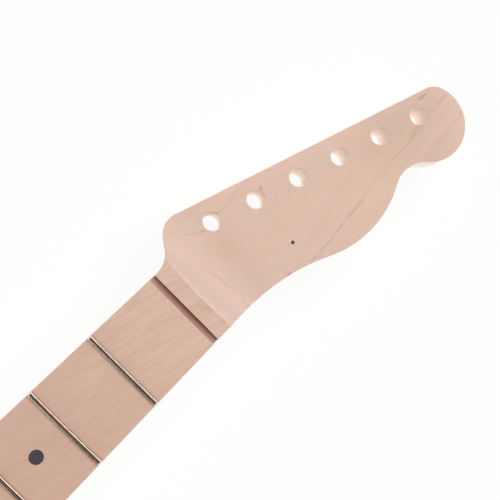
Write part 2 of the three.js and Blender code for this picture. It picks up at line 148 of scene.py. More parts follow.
# %% Set the outline's sizes
FIRST_TUNER_PAST_NUT = 41.1 * MM
FIRST_TUNER_INSET = 0.5 * MM
TUNER_SPACING = 24.25 * MM
TUNER_COUNT = 6
TUNER_ANGLE = math.radians(16.8)
TUNER_EDGE = 11.17 * MM
HOLLOW_RADIUS = 13.1 * MM
HOLLOW_START = 4.3 * MM
HORN_RADIUS = 11.8 * MM
HORN_FLAT = 5.1 * MM
CORNER_RADIUS = 10.6 * MM
BALL_RADIUS = 20.55 * MM
BALL_RISE = 3.96 * MM
BALL_PAST_TUNER = 3.23 * MM
WAIST_RADIUS = 17.55 * MM
BELLY_RADIUS = 57.5 * MM
BELLY_PAST_NUT = 96.3 * MM
BELLY_BEYOND_SIDE = 17.35 * MM
BELLY_START = math.radians(23.4)
SWEEP_START = 6.7 * MM
SWEEP_HANDLES = (42.8 * MM, 12.4 * MM)
ARC_STEP = math.radians(3)


def towards(angle):
    """The direction at an angle, in the plane of the headstock."""
    return Vector((math.cos(angle), math.sin(angle)))


tuner_line = towards(-TUNER_ANGLE)
tuner_normal = Vector((-tuner_line.y, tuner_line.x))
first_tuner = Vector((nut + FIRST_TUNER_PAST_NUT, NUT_HALF - FIRST_TUNER_INSET))
tuners = [first_tuner + tuner_line * TUNER_SPACING * number for number in range(TUNER_COUNT)]
ball = tuners[-1] + tuner_line * BALL_PAST_TUNER
ball += tuner_normal * (TUNER_EDGE + BALL_RISE - BALL_RADIUS)
tip = ball + Vector((BALL_RADIUS, 0))
print("tip at", round(tip.x / MM, 1), "mm")

# %% Draw arcs


def leaving(start, direction, centre, distance):
    """Where a line gets as far from a centre as a distance, on its way out."""
    back = start - centre
    forward = back.dot(direction)
    reach = math.sqrt(distance ** 2 - back.length_squared + forward ** 2)
    return start + direction * (reach - forward)


def meeting(a, radius_a, b, radius_b):
    """Where two circles meet, on the right of the line from a to b."""
    apart = (b - a).length
    foot = (radius_a ** 2 - radius_b ** 2 + apart ** 2) / (2 * apart)
    direction = (b - a).normalized()
    right = Vector((direction.y, -direction.x))
    return a + direction * foot + right * math.sqrt(radius_a ** 2 - foot ** 2)


def mix(a, b, share):
    """A value between two others, and exactly one of them at each end."""
    return a * (1 - share) + b * share


def steps(start, end, count):
    """Evenly spaced numbers from a start to an end."""
    return [mix(start, end, i / count) for i in range(count + 1)]


def arc(centre, start, end):
    """Points on the shorter arc from one place to another round a centre."""
    first = start - centre
    sweep = -first.angle_signed(end - centre)
    angle = math.atan2(first.y, first.x)
    turns = steps(angle, angle + sweep, max(2, math.ceil(abs(sweep) / ARC_STEP)))
    return [centre + towards(turn) * first.length for turn in turns]


print("arcs have a point every", round(math.degrees(ARC_STEP)), "degrees")

# %% Draw the bass edge


def bass_outline():
    """The bass edge from the butt to the tip."""
    side = Vector((1, -taper)).normalized()
    outward = Vector((-side.y, side.x))
    start = Vector((nut + HOLLOW_START, half_width(nut + HOLLOW_START)))
    hollow = start + outward * HOLLOW_RADIUS
    edge = first_tuner + tuner_normal * TUNER_EDGE
    radii = HOLLOW_RADIUS + HORN_RADIUS
    horn_row = edge - tuner_normal * HORN_RADIUS
    horn = leaving(horn_row, tuner_line, hollow, math.hypot(radii, HORN_FLAT))
    to_horn = horn - hollow
    touch = towards(math.atan2(to_horn.y, to_horn.x) - math.acos(radii / to_horn.length))
    row = edge - tuner_normal * CORNER_RADIUS
    corner = leaving(row, tuner_line, ball, BALL_RADIUS - CORNER_RADIUS)
    ball_start = ball + (corner - ball).normalized() * BALL_RADIUS
    return [
        Vector((butt, HEEL_HALF)),
        *arc(hollow, start, hollow + touch * HOLLOW_RADIUS),
        *arc(horn, horn - touch * HORN_RADIUS, horn + tuner_normal * HORN_RADIUS),
        *arc(corner, corner + tuner_normal * CORNER_RADIUS, ball_start),
        *arc(ball, ball_start, tip)[1:],
    ]


bass = bass_outline()
print("bass edge:", len(bass), "points")

# %% Draw the treble edge
SWEEP_STEPS = 24


def treble_outline():
    """The treble edge from the butt to the tip."""
    belly = Vector((nut + BELLY_PAST_NUT, BELLY_RADIUS - NUT_HALF - BELLY_BEYOND_SIDE))
    waist = meeting(belly, BELLY_RADIUS + WAIST_RADIUS, ball, BALL_RADIUS + WAIST_RADIUS)
    belly_end = waist + (belly - waist).normalized() * WAIST_RADIUS
    ball_start = waist + (ball - waist).normalized() * WAIST_RADIUS
    belly_start = belly + towards(-math.pi / 2 - BELLY_START) * BELLY_RADIUS
    start = Vector((nut + SWEEP_START, -half_width(nut + SWEEP_START)))
    leave = start + Vector((SWEEP_HANDLES[0], 0))
    arrive = belly_start - towards(-BELLY_START) * SWEEP_HANDLES[1]
    sweep = []
    for t in steps(0, 1, SWEEP_STEPS):
        near = start * (1 - t) ** 3 + leave * 3 * t * (1 - t) ** 2
        sweep.append(near + arrive * 3 * t ** 2 * (1 - t) + belly_start * t ** 3)
    return [
        Vector((butt, -HEEL_HALF)),
        *sweep,
        *arc(belly, belly_start, belly_end)[1:],
        *arc(waist, belly_end, ball_start)[1:],
        *arc(ball, ball_start, tip)[1:],
    ]


treble = treble_outline()
print("treble edge:", len(treble), "points")


def edge_at(points, x):
    """The y of an outline at some x, between its points."""
    after = next(i for i, point in enumerate(points) if point.x >= x and i > 0)
    a, b = points[after - 1], points[after]
    return a.y + (b.y - a.y) * (x - a.x) / (b.x - a.x)


# %% [markdown]
# ## Workshop tools
# Blender's operators act on whatever is selected, so every step starts by choosing one piece.
# The next cells are this workshop's hand tools: choosing a piece, going into edit mode, making
# stock, slicing it, cutting one piece with others, tidying a cut mesh, and giving a piece its
# finish. A face is end on to an axis where its normal has more than 0.9 along it, and upright
# where it has less than 0.5 up.

# %% Choose a piece and open it for editing
END_ON = 0.9
UPRIGHT = 0.5


def choose_nothing():
    """Leaves edit mode and deselects everything."""
    if bpy.context.object and bpy.context.object.mode != "OBJECT":
        bpy.ops.object.mode_set(mode="OBJECT")
    bpy.ops.object.select_all(action="DESELECT")


def only(piece):
    """Makes one piece the only chosen one."""
    choose_nothing()
    piece.select_set(True)
    bpy.context.view_layer.objects.active = piece


def edit(piece, kind="VERT", action="DESELECT"):
    """Opens a piece in edit mode, with all of it selected or nothing."""
    only(piece)
    bpy.ops.object.mode_set(mode="EDIT")
    bpy.ops.mesh.select_mode(type=kind)
    bpy.ops.mesh.select_all(action=action)
    return bmesh.from_edit_mesh(piece.data)


def choose(piece, kind, test):
    """Opens a piece and selects the vertices, edges or faces that pass a test."""
    mesh = edit(piece, kind)
    parts = {"VERT": mesh.verts, "EDGE": mesh.edges, "FACE": mesh.faces}[kind]
    chosen = [part for part in parts if test(part)]
    for part in chosen:
        part.select_set(True)
    mesh.select_flush_mode()
    bmesh.update_edit_mesh(piece.data)
    return len(chosen)


print("the frame has", len(frame["nodes"]), "pieces to work from")

# %% Make stock


def settle(name):
    """Names the new piece and puts its place, turn and size into its mesh."""
    piece = bpy.context.object
    piece.name = name
    piece.data.name = name
    bpy.ops.object.transform_apply(location=True, rotation=True, scale=True)
    return piece


def cube(name, low, high):
    """A block of stock between two corners."""
    choose_nothing()
    middle = (Vector(low) + Vector(high)) / 2
    bpy.ops.mesh.primitive_cube_add(size=1, location=middle, scale=Vector(high) - Vector(low))
    return settle(name)


TURNS = {"X": (0, math.pi / 2, 0), "Y": (math.pi / 2, 0, 0), "Z": (0, 0, 0)}
AXES = {"X": Vector((1, 0, 0)), "Y": Vector((0, 1, 0)), "Z": Vector((0, 0, 1))}


def rod(name, axis, middle, diameter, length, sides=64):
    """A round bar along one axis."""
    choose_nothing()
    bpy.ops.mesh.primitive_cylinder_add(
        vertices=sides, radius=diameter / 2, depth=length, location=middle, rotation=TURNS[axis]
    )
    return settle(name)


def face_outward(piece):
    """Turns every face of a piece outward."""
    edit(piece, "FACE", "SELECT")
    bpy.ops.mesh.normals_make_consistent(inside=False)
    only(piece)


def plank(name, outline, low, high, along="Z"):
    """Stock sawn to a drawn outline: a filled circle is moved onto it, then extruded."""
    choose_nothing()
    bpy.ops.mesh.primitive_circle_add(vertices=len(outline), radius=1, fill_type="NGON")
    piece = settle(name)
    number = "XYZ".index(along)
    for vertex, point in zip(piece.data.vertices, outline):
        place = list(point)
        place.insert(number, low)
        vertex.co = place
    edit(piece, "FACE", "SELECT")
    move = AXES[along] * (high - low)
    bpy.ops.mesh.extrude_region_move(TRANSFORM_OT_translate={"value": move})
    face_outward(piece)
    return piece


def slice_at(places, axis, **settings):
    """Cuts the piece that is open in edit mode across an axis, at each place."""
    for place in places:
        bpy.ops.mesh.select_all(action="SELECT")
        bpy.ops.mesh.bisect(plane_co=AXES[axis] * place, plane_no=AXES[axis], **settings)


print("rods lie along", ", ".join(TURNS))

# %% Cut, join and tidy
TIDY_DISTANCE = 0.004 * MM
TIDY_ANGLE = math.radians(0.05)
SMOOTH_ANGLE = math.radians(28)
SHARP = math.radians(40)


def modify(piece, kind, **settings):
    """Applies a modifier to a piece."""
    modifier = piece.modifiers.new(kind, kind)
    for name, value in settings.items():
        setattr(modifier, name, value)
    only(piece)
    bpy.ops.object.modifier_apply(modifier=modifier.name)


def combine(piece, tools, operation="DIFFERENCE"):
    """Cuts a piece with tools, or joins or crosses them, and uses the tools up."""
    only(tools[0])
    for tool in tools[1:]:
        tool.select_set(True)
    if len(tools) > 1:
        bpy.ops.object.join()
    tool = bpy.context.object
    modify(piece, "BOOLEAN", operation=operation, solver="EXACT", object=tool)
    bpy.data.objects.remove(tool)


def tidy(piece):
    """Merges points that lie together and dissolves edges inside flat faces."""
    edit(piece, "VERT", "SELECT")
    bpy.ops.mesh.remove_doubles(threshold=TIDY_DISTANCE)
    bpy.ops.mesh.dissolve_limited(angle_limit=TIDY_ANGLE)
    only(piece)


finishes = {}


def paint(piece, *names):
    """Gives a piece its finishes, of which the first covers it."""
    for name in names:
        piece.data.materials.append(finishes[name])


def repaint(piece, test, finish):
    """Puts another of the piece's finishes on the faces that pass a test."""
    print(finish, "is on", choose(piece, "FACE", test), "faces")
    piece.active_material_index = list(piece.data.materials).index(finishes[finish])
    bpy.ops.object.material_slot_assign()


def ready(piece, node, finish):
    """Smooths a piece, gives it its finish and body, and lets it stand for its CAD node."""
    only(piece)
    bpy.ops.object.shade_smooth_by_angle(angle=SMOOTH_ANGLE)
    if not piece.data.materials:
        paint(piece, finish)
    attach(piece, frame["nodes"][node]["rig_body"])
    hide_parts(node)
    faces = sum(len(polygon.vertices) - 2 for polygon in piece.data.polygons)
    print(piece.name, "has", faces, "triangles")


print("points nearer than", round(TIDY_DISTANCE / MM, 3), "mm are merged")

# %% [markdown]
# ## Shader parts
# A material is a tree of nodes. What a node puts out is kept here as a Value, so that Python's
# own signs for plus, minus, times and so on make Math nodes. Short helpers stand for the other
# nodes that are used most. A socket that gets a Value is linked, and a plain number is set.

# %% Add shader nodes


class Value:
    """What a socket puts out. Python's own signs make Math nodes from it."""

    def __init__(self, socket):
        self.socket = socket
        self.tree = socket.id_data

    def apply(self, operation, *others):
        """A Math node's answer, with this value in its first socket."""
        return from_node(self.tree, "Math", enumerate((self, *others)), operation=operation)

    __add__ = partialmethod(apply, "ADD")
    __sub__ = partialmethod(apply, "SUBTRACT")
    __mul__ = partialmethod(apply, "MULTIPLY")
    __truediv__ = partialmethod(apply, "DIVIDE")
    __pow__ = partialmethod(apply, "POWER")
    __abs__ = partialmethod(apply, "ABSOLUTE")


def fill(socket, value):
    """Links a socket to a Value, or sets it to a plain value."""
    if isinstance(value, Value):
        value.tree.links.new(value.socket, socket)
    else:
        socket.default_value = value


def add_node(tree, kind, sockets=(), **settings):
    """Adds a node, makes its settings and fills its sockets."""
    node = tree.nodes.new("ShaderNode" + kind)
    for name, value in settings.items():
        setattr(node, name, value)
    for name, value in dict(sockets).items():
        fill(node.inputs[name], value)
    return node


def from_node(tree, kind, sockets=(), output=0, **settings):
    """Adds a node and hands back what one of its outputs gives."""
    return Value(add_node(tree, kind, sockets, **settings).outputs[output])


def fade(value, start, end, low=0.0, high=1.0):
    """Goes smoothly from low to high as a value goes from start to end."""
    sockets = enumerate((value, start, end, low, high))
    return from_node(value.tree, "MapRange", sockets, interpolation_type="SMOOTHSTEP")


def blend(share, first, second):
    """Mixes two colours by a share. The Mix node has its colours at inputs 6 and 7, output 2."""
    tree = (share if isinstance(share, Value) else first).tree
    return from_node(tree, "Mix", {0: share, 6: first, 7: second}, 2, data_type="RGBA")


def noise(vector, stretch, detail=2.0, roughness=0.5):
    """Soft noise from 0 to 1, with its own scale along each axis, in waves to the metre."""
    scaled = from_node(vector.tree, "Mapping", {"Vector": vector, "Scale": stretch})
    sockets = {"Vector": scaled, "Scale": 1.0, "Detail": detail, "Roughness": roughness}
    return from_node(vector.tree, "TexNoise", sockets)


def axes(vector):
    """The x, y and z of a vector."""
    node = add_node(vector.tree, "SeparateXYZ", {0: vector})
    return [Value(output) for output in node.outputs]


def linear(red, green, blue):
    """A colour given as seen on a screen, from 0 to 255, as the shader's own numbers."""
    shares = [value / 255 for value in (red, green, blue)]
    bent = [s / 12.92 if s <= 0.04045 else ((s + 0.055) / 1.055) ** 2.4 for s in shares]
    return (*bent, 1)


def coats(colour, *shares_and_tints):
    """Lays coats of colour over each other, each with its share of cover."""
    for share, tint in shares_and_tints:
        colour = blend(share, colour, linear(*tint))
    return colour


# %% Make and use node groups
VECTOR_INPUTS = ("Vector", "Place")


def open_group(name, *inputs):
    """A new node group, and the values that it is given."""
    tree = bpy.data.node_groups.new(name, "ShaderNodeTree")
    for label in inputs:
        kind = "NodeSocketVector" if label in VECTOR_INPUTS else "NodeSocketFloat"
        tree.interface.new_socket(label, in_out="INPUT", socket_type=kind)
    given = tree.nodes.new("NodeGroupInput").outputs
    return tree, {label: Value(given[label]) for label in inputs}


def close_group(tree, **results):
    """Lets a group put out the values that it has worked out."""
    for label in results:
        tree.interface.new_socket(label, in_out="OUTPUT", socket_type="NodeSocketFloat")
    node = tree.nodes.new("NodeGroupOutput")
    for label, value in results.items():
        fill(node.inputs[label], value)
    return tree


def use_group(group, sockets):
    """Places a node group beside its vector, fills its inputs and hands back its results."""
    node = add_node(sockets["Vector"].tree, "Group", sockets, node_tree=group)
    return {output.name: Value(output) for output in node.outputs}


print("vector inputs of groups:", ", ".join(VECTOR_INPUTS))

# %% [markdown]
# ## Growth rings
# A board is a slice through a log. Its rings are cylinders round the pith, and where the saw
# crosses them they show as thin lines: long ones on a flat face, bows where a surface dips, and
# arcs on an end. The group measures each point's distance from a slanting pith line, so the same
# rings run over the face, the scoop and the edges without a break. A tree never grows quite
# evenly, so the rings wander over a hand's breadth and quiver over a finger's. The group puts out
# the distance, thin lines at the rings' ends, each of its own strength, and a soft band inside
# each ring.

# %% Build the growth ring group
WANDER_WAVES = (9, 40, 40)
QUIVER_WAVES = (60, 120, 120)
LINE_RISE = (0.9, 0.985)
LINE_FALL = (1.0, 0.99)


def build_rings():
    """Distance to the pith, ring lines and ring bands, from coordinates that start at the pith."""
    tree, given = open_group("growth_rings", "Vector", "Slant Y", "Slant Z", "Spacing", "Wander",
                             "Quiver")
    x, y, z = axes(given["Vector"])
    across = y - x * given["Slant Y"]
    up = z - x * given["Slant Z"]
    distance = (across ** 2.0 + up ** 2.0).apply("SQRT")
    for waves, amount in ((WANDER_WAVES, "Wander"), (QUIVER_WAVES, "Quiver")):
        distance += (noise(given["Vector"], waves) - 0.5) * given[amount]
    turns = distance / given["Spacing"]
    share = turns.apply("FRACT")
    strength = from_node(tree, "TexWhiteNoise", {"W": turns.apply("FLOOR")}, noise_dimensions="1D")
    line = fade(share, *LINE_RISE) * fade(share, *LINE_FALL)
    return close_group(tree, Distance=distance, Lines=line * strength ** 3.0,
                       Bands=share * strength)


growth_rings = build_rings()
print("ring group:", len(growth_rings.nodes), "nodes")

# %% [markdown]
# ## Grain
# Between the rings the wood has finer marks, most of them drawn out along the grain: streaks a
# millimetre or two apart, short dark pores, broad pale and tan clouds, a faint ripple across and
# a fine mottle. Each is noise whose coordinates are squeezed along the grain. The group gives
# each mark by itself, so that each kind of wood can use its own amounts.

# %% Build the grain group
WIDE_STREAKS = (48, 760, 760)
FINE_STREAKS = (150, 2600, 2600)
FINE_SHARE = 0.3
PORE_WAVES = (420, 4200, 4200)
PORE_EDGE = (0.66, 0.74)
CLOUD_WAVES = (22, 75, 75)
RIPPLE_WAVES = (240, 70, 70)
MOTTLE_WAVES = (420, 700, 700)


def build_grain():
    """The marks between the rings, from coordinates with x along the grain."""
    tree, given = open_group("wood_grain", "Vector")
    vector = given["Vector"]
    wide = noise(vector, WIDE_STREAKS, 2.0, 0.6) * (1.0 - FINE_SHARE)
    return close_group(
        tree,
        Streaks=wide + noise(vector, FINE_STREAKS, 1.0) * FINE_SHARE,
        Pores=fade(noise(vector, PORE_WAVES, 1.0), *PORE_EDGE),
        Clouds=noise(vector, CLOUD_WAVES, 3.0),
        Ripple=noise(vector, RIPPLE_WAVES, 1.0),
        Mottle=noise(vector, MOTTLE_WAVES, 3.0),
    )


wood_grain = build_grain()
print("grain group:", len(wood_grain.nodes), "nodes")

# %% Build the fleck group
RAGGED_WAVES = (900, 900, 900)
RAGGED_SHARE = 0.6


def build_fleck():
    """A soft oblong spot round a place, as a mineral fleck or a tan patch in the wood."""
    tree, given = open_group("fleck", "Vector", "Place", "Turn", "Half length", "Half width",
                             "Core")
    offset = from_node(tree, "VectorMath", {0: given["Vector"], 1: given["Place"]},
                       operation="SUBTRACT")
    turned = from_node(tree, "VectorRotate", {"Vector": offset, "Angle": given["Turn"]},
                       rotation_type="Z_AXIS")
    x, y = axes(turned)[:2]
    along = x / given["Half length"]
    across = y / given["Half width"]
    distance = (along ** 2.0 + across ** 2.0).apply("SQRT")
    distance += (noise(given["Vector"], RAGGED_WAVES) - 0.5) * RAGGED_SHARE
    return close_group(tree, Mask=fade(distance, 1.0, given["Core"]))


fleck = build_fleck()
print("groups:", sorted(group.name for group in bpy.data.node_groups))

# %% [markdown]
# ## Bare maple
# Both pieces of maple use the same groups with their own values. The neck's wood is paler and
# pinker, with a few clear rings. The fingerboard's grain runs at a slant of about 15 degrees, is
# browner and has more streaks. Sanded wood is matt, so it gets a high roughness and only a very
# small bump. Its eased edges are a little warmer. The headstock's upright sides and the walls of
# its holes get painted light, paler as if lit from the floor below, and the holes' rims lie in
# between. The butt is end grain, and darker. The floor and walls of the nut slot, the board
# beside each fret and the steep part of the scoop get painted shade, and the board is painted
# darker away from the nut, as painted light falling off.

# %% Start a finish
SANDED_DEPTH = 0.02 * MM
PORE_DEPTH = 0.6


def start_material(name, roughness, metallic=0.0):
    """A new material, its Principled shader's sockets, and coordinates in the part's space."""
    material = bpy.data.materials.new(name)
    material.use_nodes = True
    tree = material.node_tree
    shader = tree.nodes["Principled BSDF"].inputs
    shader["Roughness"].default_value = roughness
    shader["Metallic"].default_value = metallic
    return material, shader, from_node(tree, "TexCoord", output="Object")


def facing(tree):
    """How much the surface faces along x, y and z."""
    return axes(from_node(tree, "TexCoord", output="Normal"))


def grown(vector, pith, ring_sizes):
    """The rings and the grain of wood whose pith starts at a place."""
    from_pith = from_node(vector.tree, "Mapping", {"Vector": vector, "Location": pith},
                          vector_type="TEXTURE")
    rings = use_group(growth_rings, {"Vector": from_pith, **ring_sizes})
    return rings, use_group(wood_grain, {"Vector": from_pith})


def bumpy(shader, height, depth):
    """Gives a shader a bump of some depth."""
    sockets = {"Height": height, "Distance": depth}
    fill(shader["Normal"], from_node(height.tree, "Bump", sockets))


def sanded(shader, grain, smoother, rougher):
    """Fine grain in the roughness and the bump of a sanded surface."""
    fill(shader["Roughness"], fade(grain["Streaks"], 0.3, 0.7, rougher, smoother))
    bumpy(shader, grain["Streaks"] - grain["Pores"] * PORE_DEPTH, SANDED_DEPTH)


print("sanded grain is", round(SANDED_DEPTH / MM, 3), "mm deep")

# %% [markdown]
# A clear ring is given by its distance from the pith, its width, its strength, and where it
# starts to show across and along the neck. A fleck is given in mm from the nut's middle by its
# place, turn and half size, then by how solid its core is, its tint and its share.

# %% Mark the clear rings and the flecks
CLEAR_RINGS = (
    (121.42, 0.17, 0.32, (-4, 4), (66, 50)),
    (115.81, 0.26, 0.34, (19, 12), (60, 50)),
    (112.5, 0.3, 0.08, (19, 12), (60, 50)),
    (119.92, 0.23, 0.32, (-4, -12), (300, 200)),
    (123.25, 0.28, 0.26, (-4, -12), (130, 140)),
)
NECK_FLECKS = (
    ((165.9, -9.1), -9, (3.6, 1.0), 0.6, (198, 134, 92), 0.76),
    ((70.1, 15.2), 45, (1.6, 1.2), 0.4, (203, 142, 106), 0.64),
    ((50.3, -24.2), -4, (2.0, 0.6), 0.5, (200, 136, 104), 0.8),
    ((35.2, 5.6), 40, (12.0, 9.5), 0.1, (209, 172, 144), 0.44),
    ((84.0, -18.0), 8, (34.0, 4.0), 0.1, (212, 178, 150), 0.3),
    ((118.0, -12.0), 6, (40.0, 7.0), 0.1, (212, 180, 156), 0.2),
    ((152.0, -12.0), 0, (44.0, 34.0), 0.3, (201, 171, 153), 0.38),
    ((150.0, -20.0), 10, (9.0, 4.0), 0.1, (206, 166, 140), 0.3),
)
BOARD_FLECKS = (
    ((9.6, -7.0), -60, (9.0, 2.6), 0.1, (202, 160, 134), 0.45),
    ((11.0, -16.5), -60, (3.5, 1.6), 0.1, (198, 156, 130), 0.5),
    ((-8.0, 4.0), -15, (12.0, 5.0), 0.1, (208, 172, 152), 0.3),
)


def clear_rings(distance, along, across, grain):
    """The rings that show more than the others, each at its own side and length."""
    lines = 0.0
    for radius, width, strength, side, length in CLEAR_RINGS:
        line = fade(abs(distance - radius * MM), width * MM, 0.0, 0.0, strength)
        line *= fade(across, *[place * MM for place in side])
        line *= fade(along, *[nut + place * MM for place in length])
        lines = line.apply("MAXIMUM", lines)
    lines *= fade(grain["Clouds"], 0.3, 0.5, 0.45, 1.0)
    return lines * fade(grain["Ripple"], 0.35, 0.6, 0.5, 1.0)


def add_flecks(vector, colour, flecks, upper):
    """Mineral flecks, tan patches and darker areas, each at its own place on the upper side."""
    for place, turn, half_size, core, tint, share in flecks:
        spot = use_group(fleck, {
            "Vector": vector,
            "Place": (nut + place[0] * MM, place[1] * MM, 0),
            "Turn": -math.radians(turn),
            "Half length": half_size[0] * MM,
            "Half width": half_size[1] * MM,
            "Core": core,
        })
        colour = blend(spot["Mask"] * share * upper, colour, linear(*tint))
    return colour


print(len(CLEAR_RINGS), "clear rings,", len(NECK_FLECKS) + len(BOARD_FLECKS), "flecks")

# %% Make the neck's maple
NECK_PITH = (nut, -13.45 * MM, face + 118.0 * MM)
NECK_RINGS = {
    "Slant Y": 0.1187, "Slant Z": -0.0027, "Spacing": 1.43 * MM, "Wander": 0.4 * MM,
    "Quiver": 1.2 * MM,
}
SCOOP_ENDS = (nut + 46 * MM, nut + 31 * MM)
SCOOP_STARTS = (board_end, board_end + 2 * MM)
SCOOP_STEEP = (0.36, 0.52)
SIDES_START = (nut + 14 * MM, nut + 70 * MM)
END_GRAIN_SKIN = (butt + 1.2 * MM, butt + 0.6 * MM)


def scoop_painted_shade(along, forward):
    """A mask of painted shade on the scoop and the horn, greyer than the face, most where the
    scoop is steep.
    """
    wide = fade(along, *SCOOP_ENDS, 0.0, 0.32) * fade(along, *SCOOP_STARTS)
    return wide + fade(forward, *SCOOP_STEEP, 0.0, 0.42)


def sides_painted_light(along, up):
    """A mask of painted light on the headstock's upright sides, painted paler as if lit from
    below.
    """
    return fade(abs(up), 0.3, 0.1, 0.0, 0.78) * fade(along, *SIDES_START)


def on_butt(along, forward):
    """A mask of the butt, where the grain ends and shows its pores and rings."""
    return fade(along, *END_GRAIN_SKIN) * fade(forward, -0.8, -0.95)


def neck_wood(name, tint=(221, 190, 172), share=0.0):
    """The neck's maple. A tint can be laid over it for edges, and as painted light on the holes'
    rims and walls.
    """
    material, shader, vector = start_material(name, 0.6)
    rings, grain = grown(vector, NECK_PITH, NECK_RINGS)
    along, across = axes(vector)[:2]
    forward, _, up = facing(vector.tree)
    end_grain = on_butt(along, forward)
    colour = blend(fade(grain["Clouds"], 0.35, 0.65), linear(220, 190, 169),
                   linear(222, 192, 176))
    colour = coats(
        colour,
        (fade(grain["Streaks"], 0.62, 0.38, 0.0, 0.12), (206, 172, 152)),
        (fade(grain["Mottle"], 0.6, 0.35, 0.0, 0.24), (208, 174, 156)),
        (grain["Ripple"] * 0.1, (228, 199, 182)),
        (rings["Bands"] * 0.08, (204, 166, 142)),
        (rings["Lines"] * 0.1, (190, 142, 114)),
        # Painted shade on the scoop, greyer where it is steep.
        (scoop_painted_shade(along, forward), (191, 167, 156)),
        # Painted light on the upright sides, paler as if lit from the floor below.
        (sides_painted_light(along, up), (254, 242, 230)),
        (end_grain * 0.45, (198, 160, 134)),
        (end_grain * rings["Lines"].apply("MAXIMUM", grain["Pores"]), (168, 126, 100)),
        (clear_rings(rings["Distance"], along, across, grain), (178, 122, 98)),
        (grain["Pores"] * 0.16, (184, 144, 120)),
    )
    colour = add_flecks(vector, colour, NECK_FLECKS, fade(up, 0.0, 0.3))
    fill(shader["Base Color"], coats(colour, (share, tint)))
    sanded(shader, grain, 0.54, 0.68)
    return material


# The rims and walls of the tuner holes get painted light: a near-white tint, as if lit from the
# glowing floor below.
PAINTED_UNDERLIGHT = (255, 241, 230)
finishes["neck_maple"] = neck_wood("bare_neck_maple")
finishes["neck_edge"] = neck_wood("bare_neck_maple_edge", (228, 166, 138), 0.3)
finishes["neck_rim_painted_light"] = neck_wood("neck_maple_rim_painted_light", PAINTED_UNDERLIGHT, 0.35)
finishes["neck_hole_painted_light"] = neck_wood("neck_maple_hole_painted_light", PAINTED_UNDERLIGHT, 0.94)
print("neck woods:", sorted(finishes))

# %% Make the fingerboard's maple
BOARD_SLANT = math.radians(15)
BOARD_PITH = (0.3, 0.31, 0.36)
BOARD_RINGS = {
    "Slant Y": 0.0, "Slant Z": 0.0, "Spacing": 2.1 * MM, "Wander": 2.0 * MM, "Quiver": 0.8 * MM,
}
PAINTED_FALLOFF_LENGTH = 95 * MM
STRING_LENGTH = 648 * MM
OCTAVE_FRETS = 12
SHORTEST_LEFT = 0.1


def fret_painted_shade(along, up):
    """A mask of painted shade on the board's top next to each fret.

    The fret's number follows from its distance to the nut, and a whole number is a fret.
    """
    left = ((along - nut) / STRING_LENGTH + 1.0).apply("MAXIMUM", SHORTEST_LEFT)
    number = left.apply("LOGARITHM", 2.0) * -OCTAVE_FRETS
    off = abs(number - number.apply("ROUND"))
    distance = off * (left * (STRING_LENGTH * math.log(2) / OCTAVE_FRETS))
    mask = fade(distance, 2.9 * MM, 1.2 * MM, 0.0, 0.34)
    mask += fade(distance, 1.9 * MM, 1.3 * MM, 0.0, 0.3)
    return mask * fade(up, 0.5, 0.9) * fade(number, 0.5, 0.7)


def board_wood(name, tint=(212, 180, 161), share=0.0):
    """The fingerboard's maple, browner than the neck's and closely streaked."""
    material, shader, vector = start_material(name, 0.56)
    turned = from_node(vector.tree, "Mapping", {"Vector": vector, "Rotation": (0, 0, BOARD_SLANT)})
    rings, grain = grown(turned, BOARD_PITH, BOARD_RINGS)
    along = axes(vector)[0]
    up = facing(vector.tree)[2]
    # The board is painted paler near the nut and darker towards the heel: painted light falling
    # off away from the headstock's end.
    colour = blend(fade(along, nut, nut - PAINTED_FALLOFF_LENGTH), linear(219, 188, 169),
                   linear(205, 171, 154))
    colour = coats(
        colour,
        (fade(grain["Clouds"], 0.65, 0.35, 0.0, 0.5), (210, 173, 148)),
        (fade(grain["Streaks"], 0.6, 0.4, 0.0, 0.36), (196, 157, 137)),
        (fade(grain["Mottle"], 0.6, 0.35, 0.0, 0.24), (198, 162, 146)),
        (grain["Ripple"] * 0.15, (224, 192, 175)),
    )
    colour = add_flecks(vector, colour, BOARD_FLECKS, 1.0)
    colour = coats(
        colour,
        (rings["Bands"] * 0.1, (194, 156, 132)),
        (rings["Lines"] * 0.2, (172, 132, 108)),
        (grain["Pores"] * 0.2, (172, 134, 112)),
        # Painted shade on the board beside each fret.
        (fret_painted_shade(along, up), (168, 128, 108)),
        (share, tint),
    )
    fill(shader["Base Color"], colour)
    sanded(shader, grain, 0.5, 0.64)
    return material


finishes["board_maple"] = board_wood("bare_board_maple")
finishes["board_edge"] = board_wood("bare_board_maple_edge", (222, 166, 140), 0.2)
# The nut slot's finish is painted shade: a darker tint for the shade inside the slot.
finishes["board_slot_painted_shade"] = board_wood("board_maple_slot_painted_shade", (188, 145, 129), 0.8)
print("board woods:", [name for name in finishes if name.startswith("board")])

# %% [markdown]
# ## Metals and plastics
# Fret wire is nickel silver, rolled and then polished along its length, so fine scratches run
# along the wire, across the neck. The truss rod is plain steel with brass blocks and a black
# plastic sleeve. The markers are dark satin plastic, sanded flush with the board, which leaves
# fine scratches along the neck. Each has its two tones, its roughness, whether it is metal, the
# waves to the metre of its scratches, and their depth in mm.

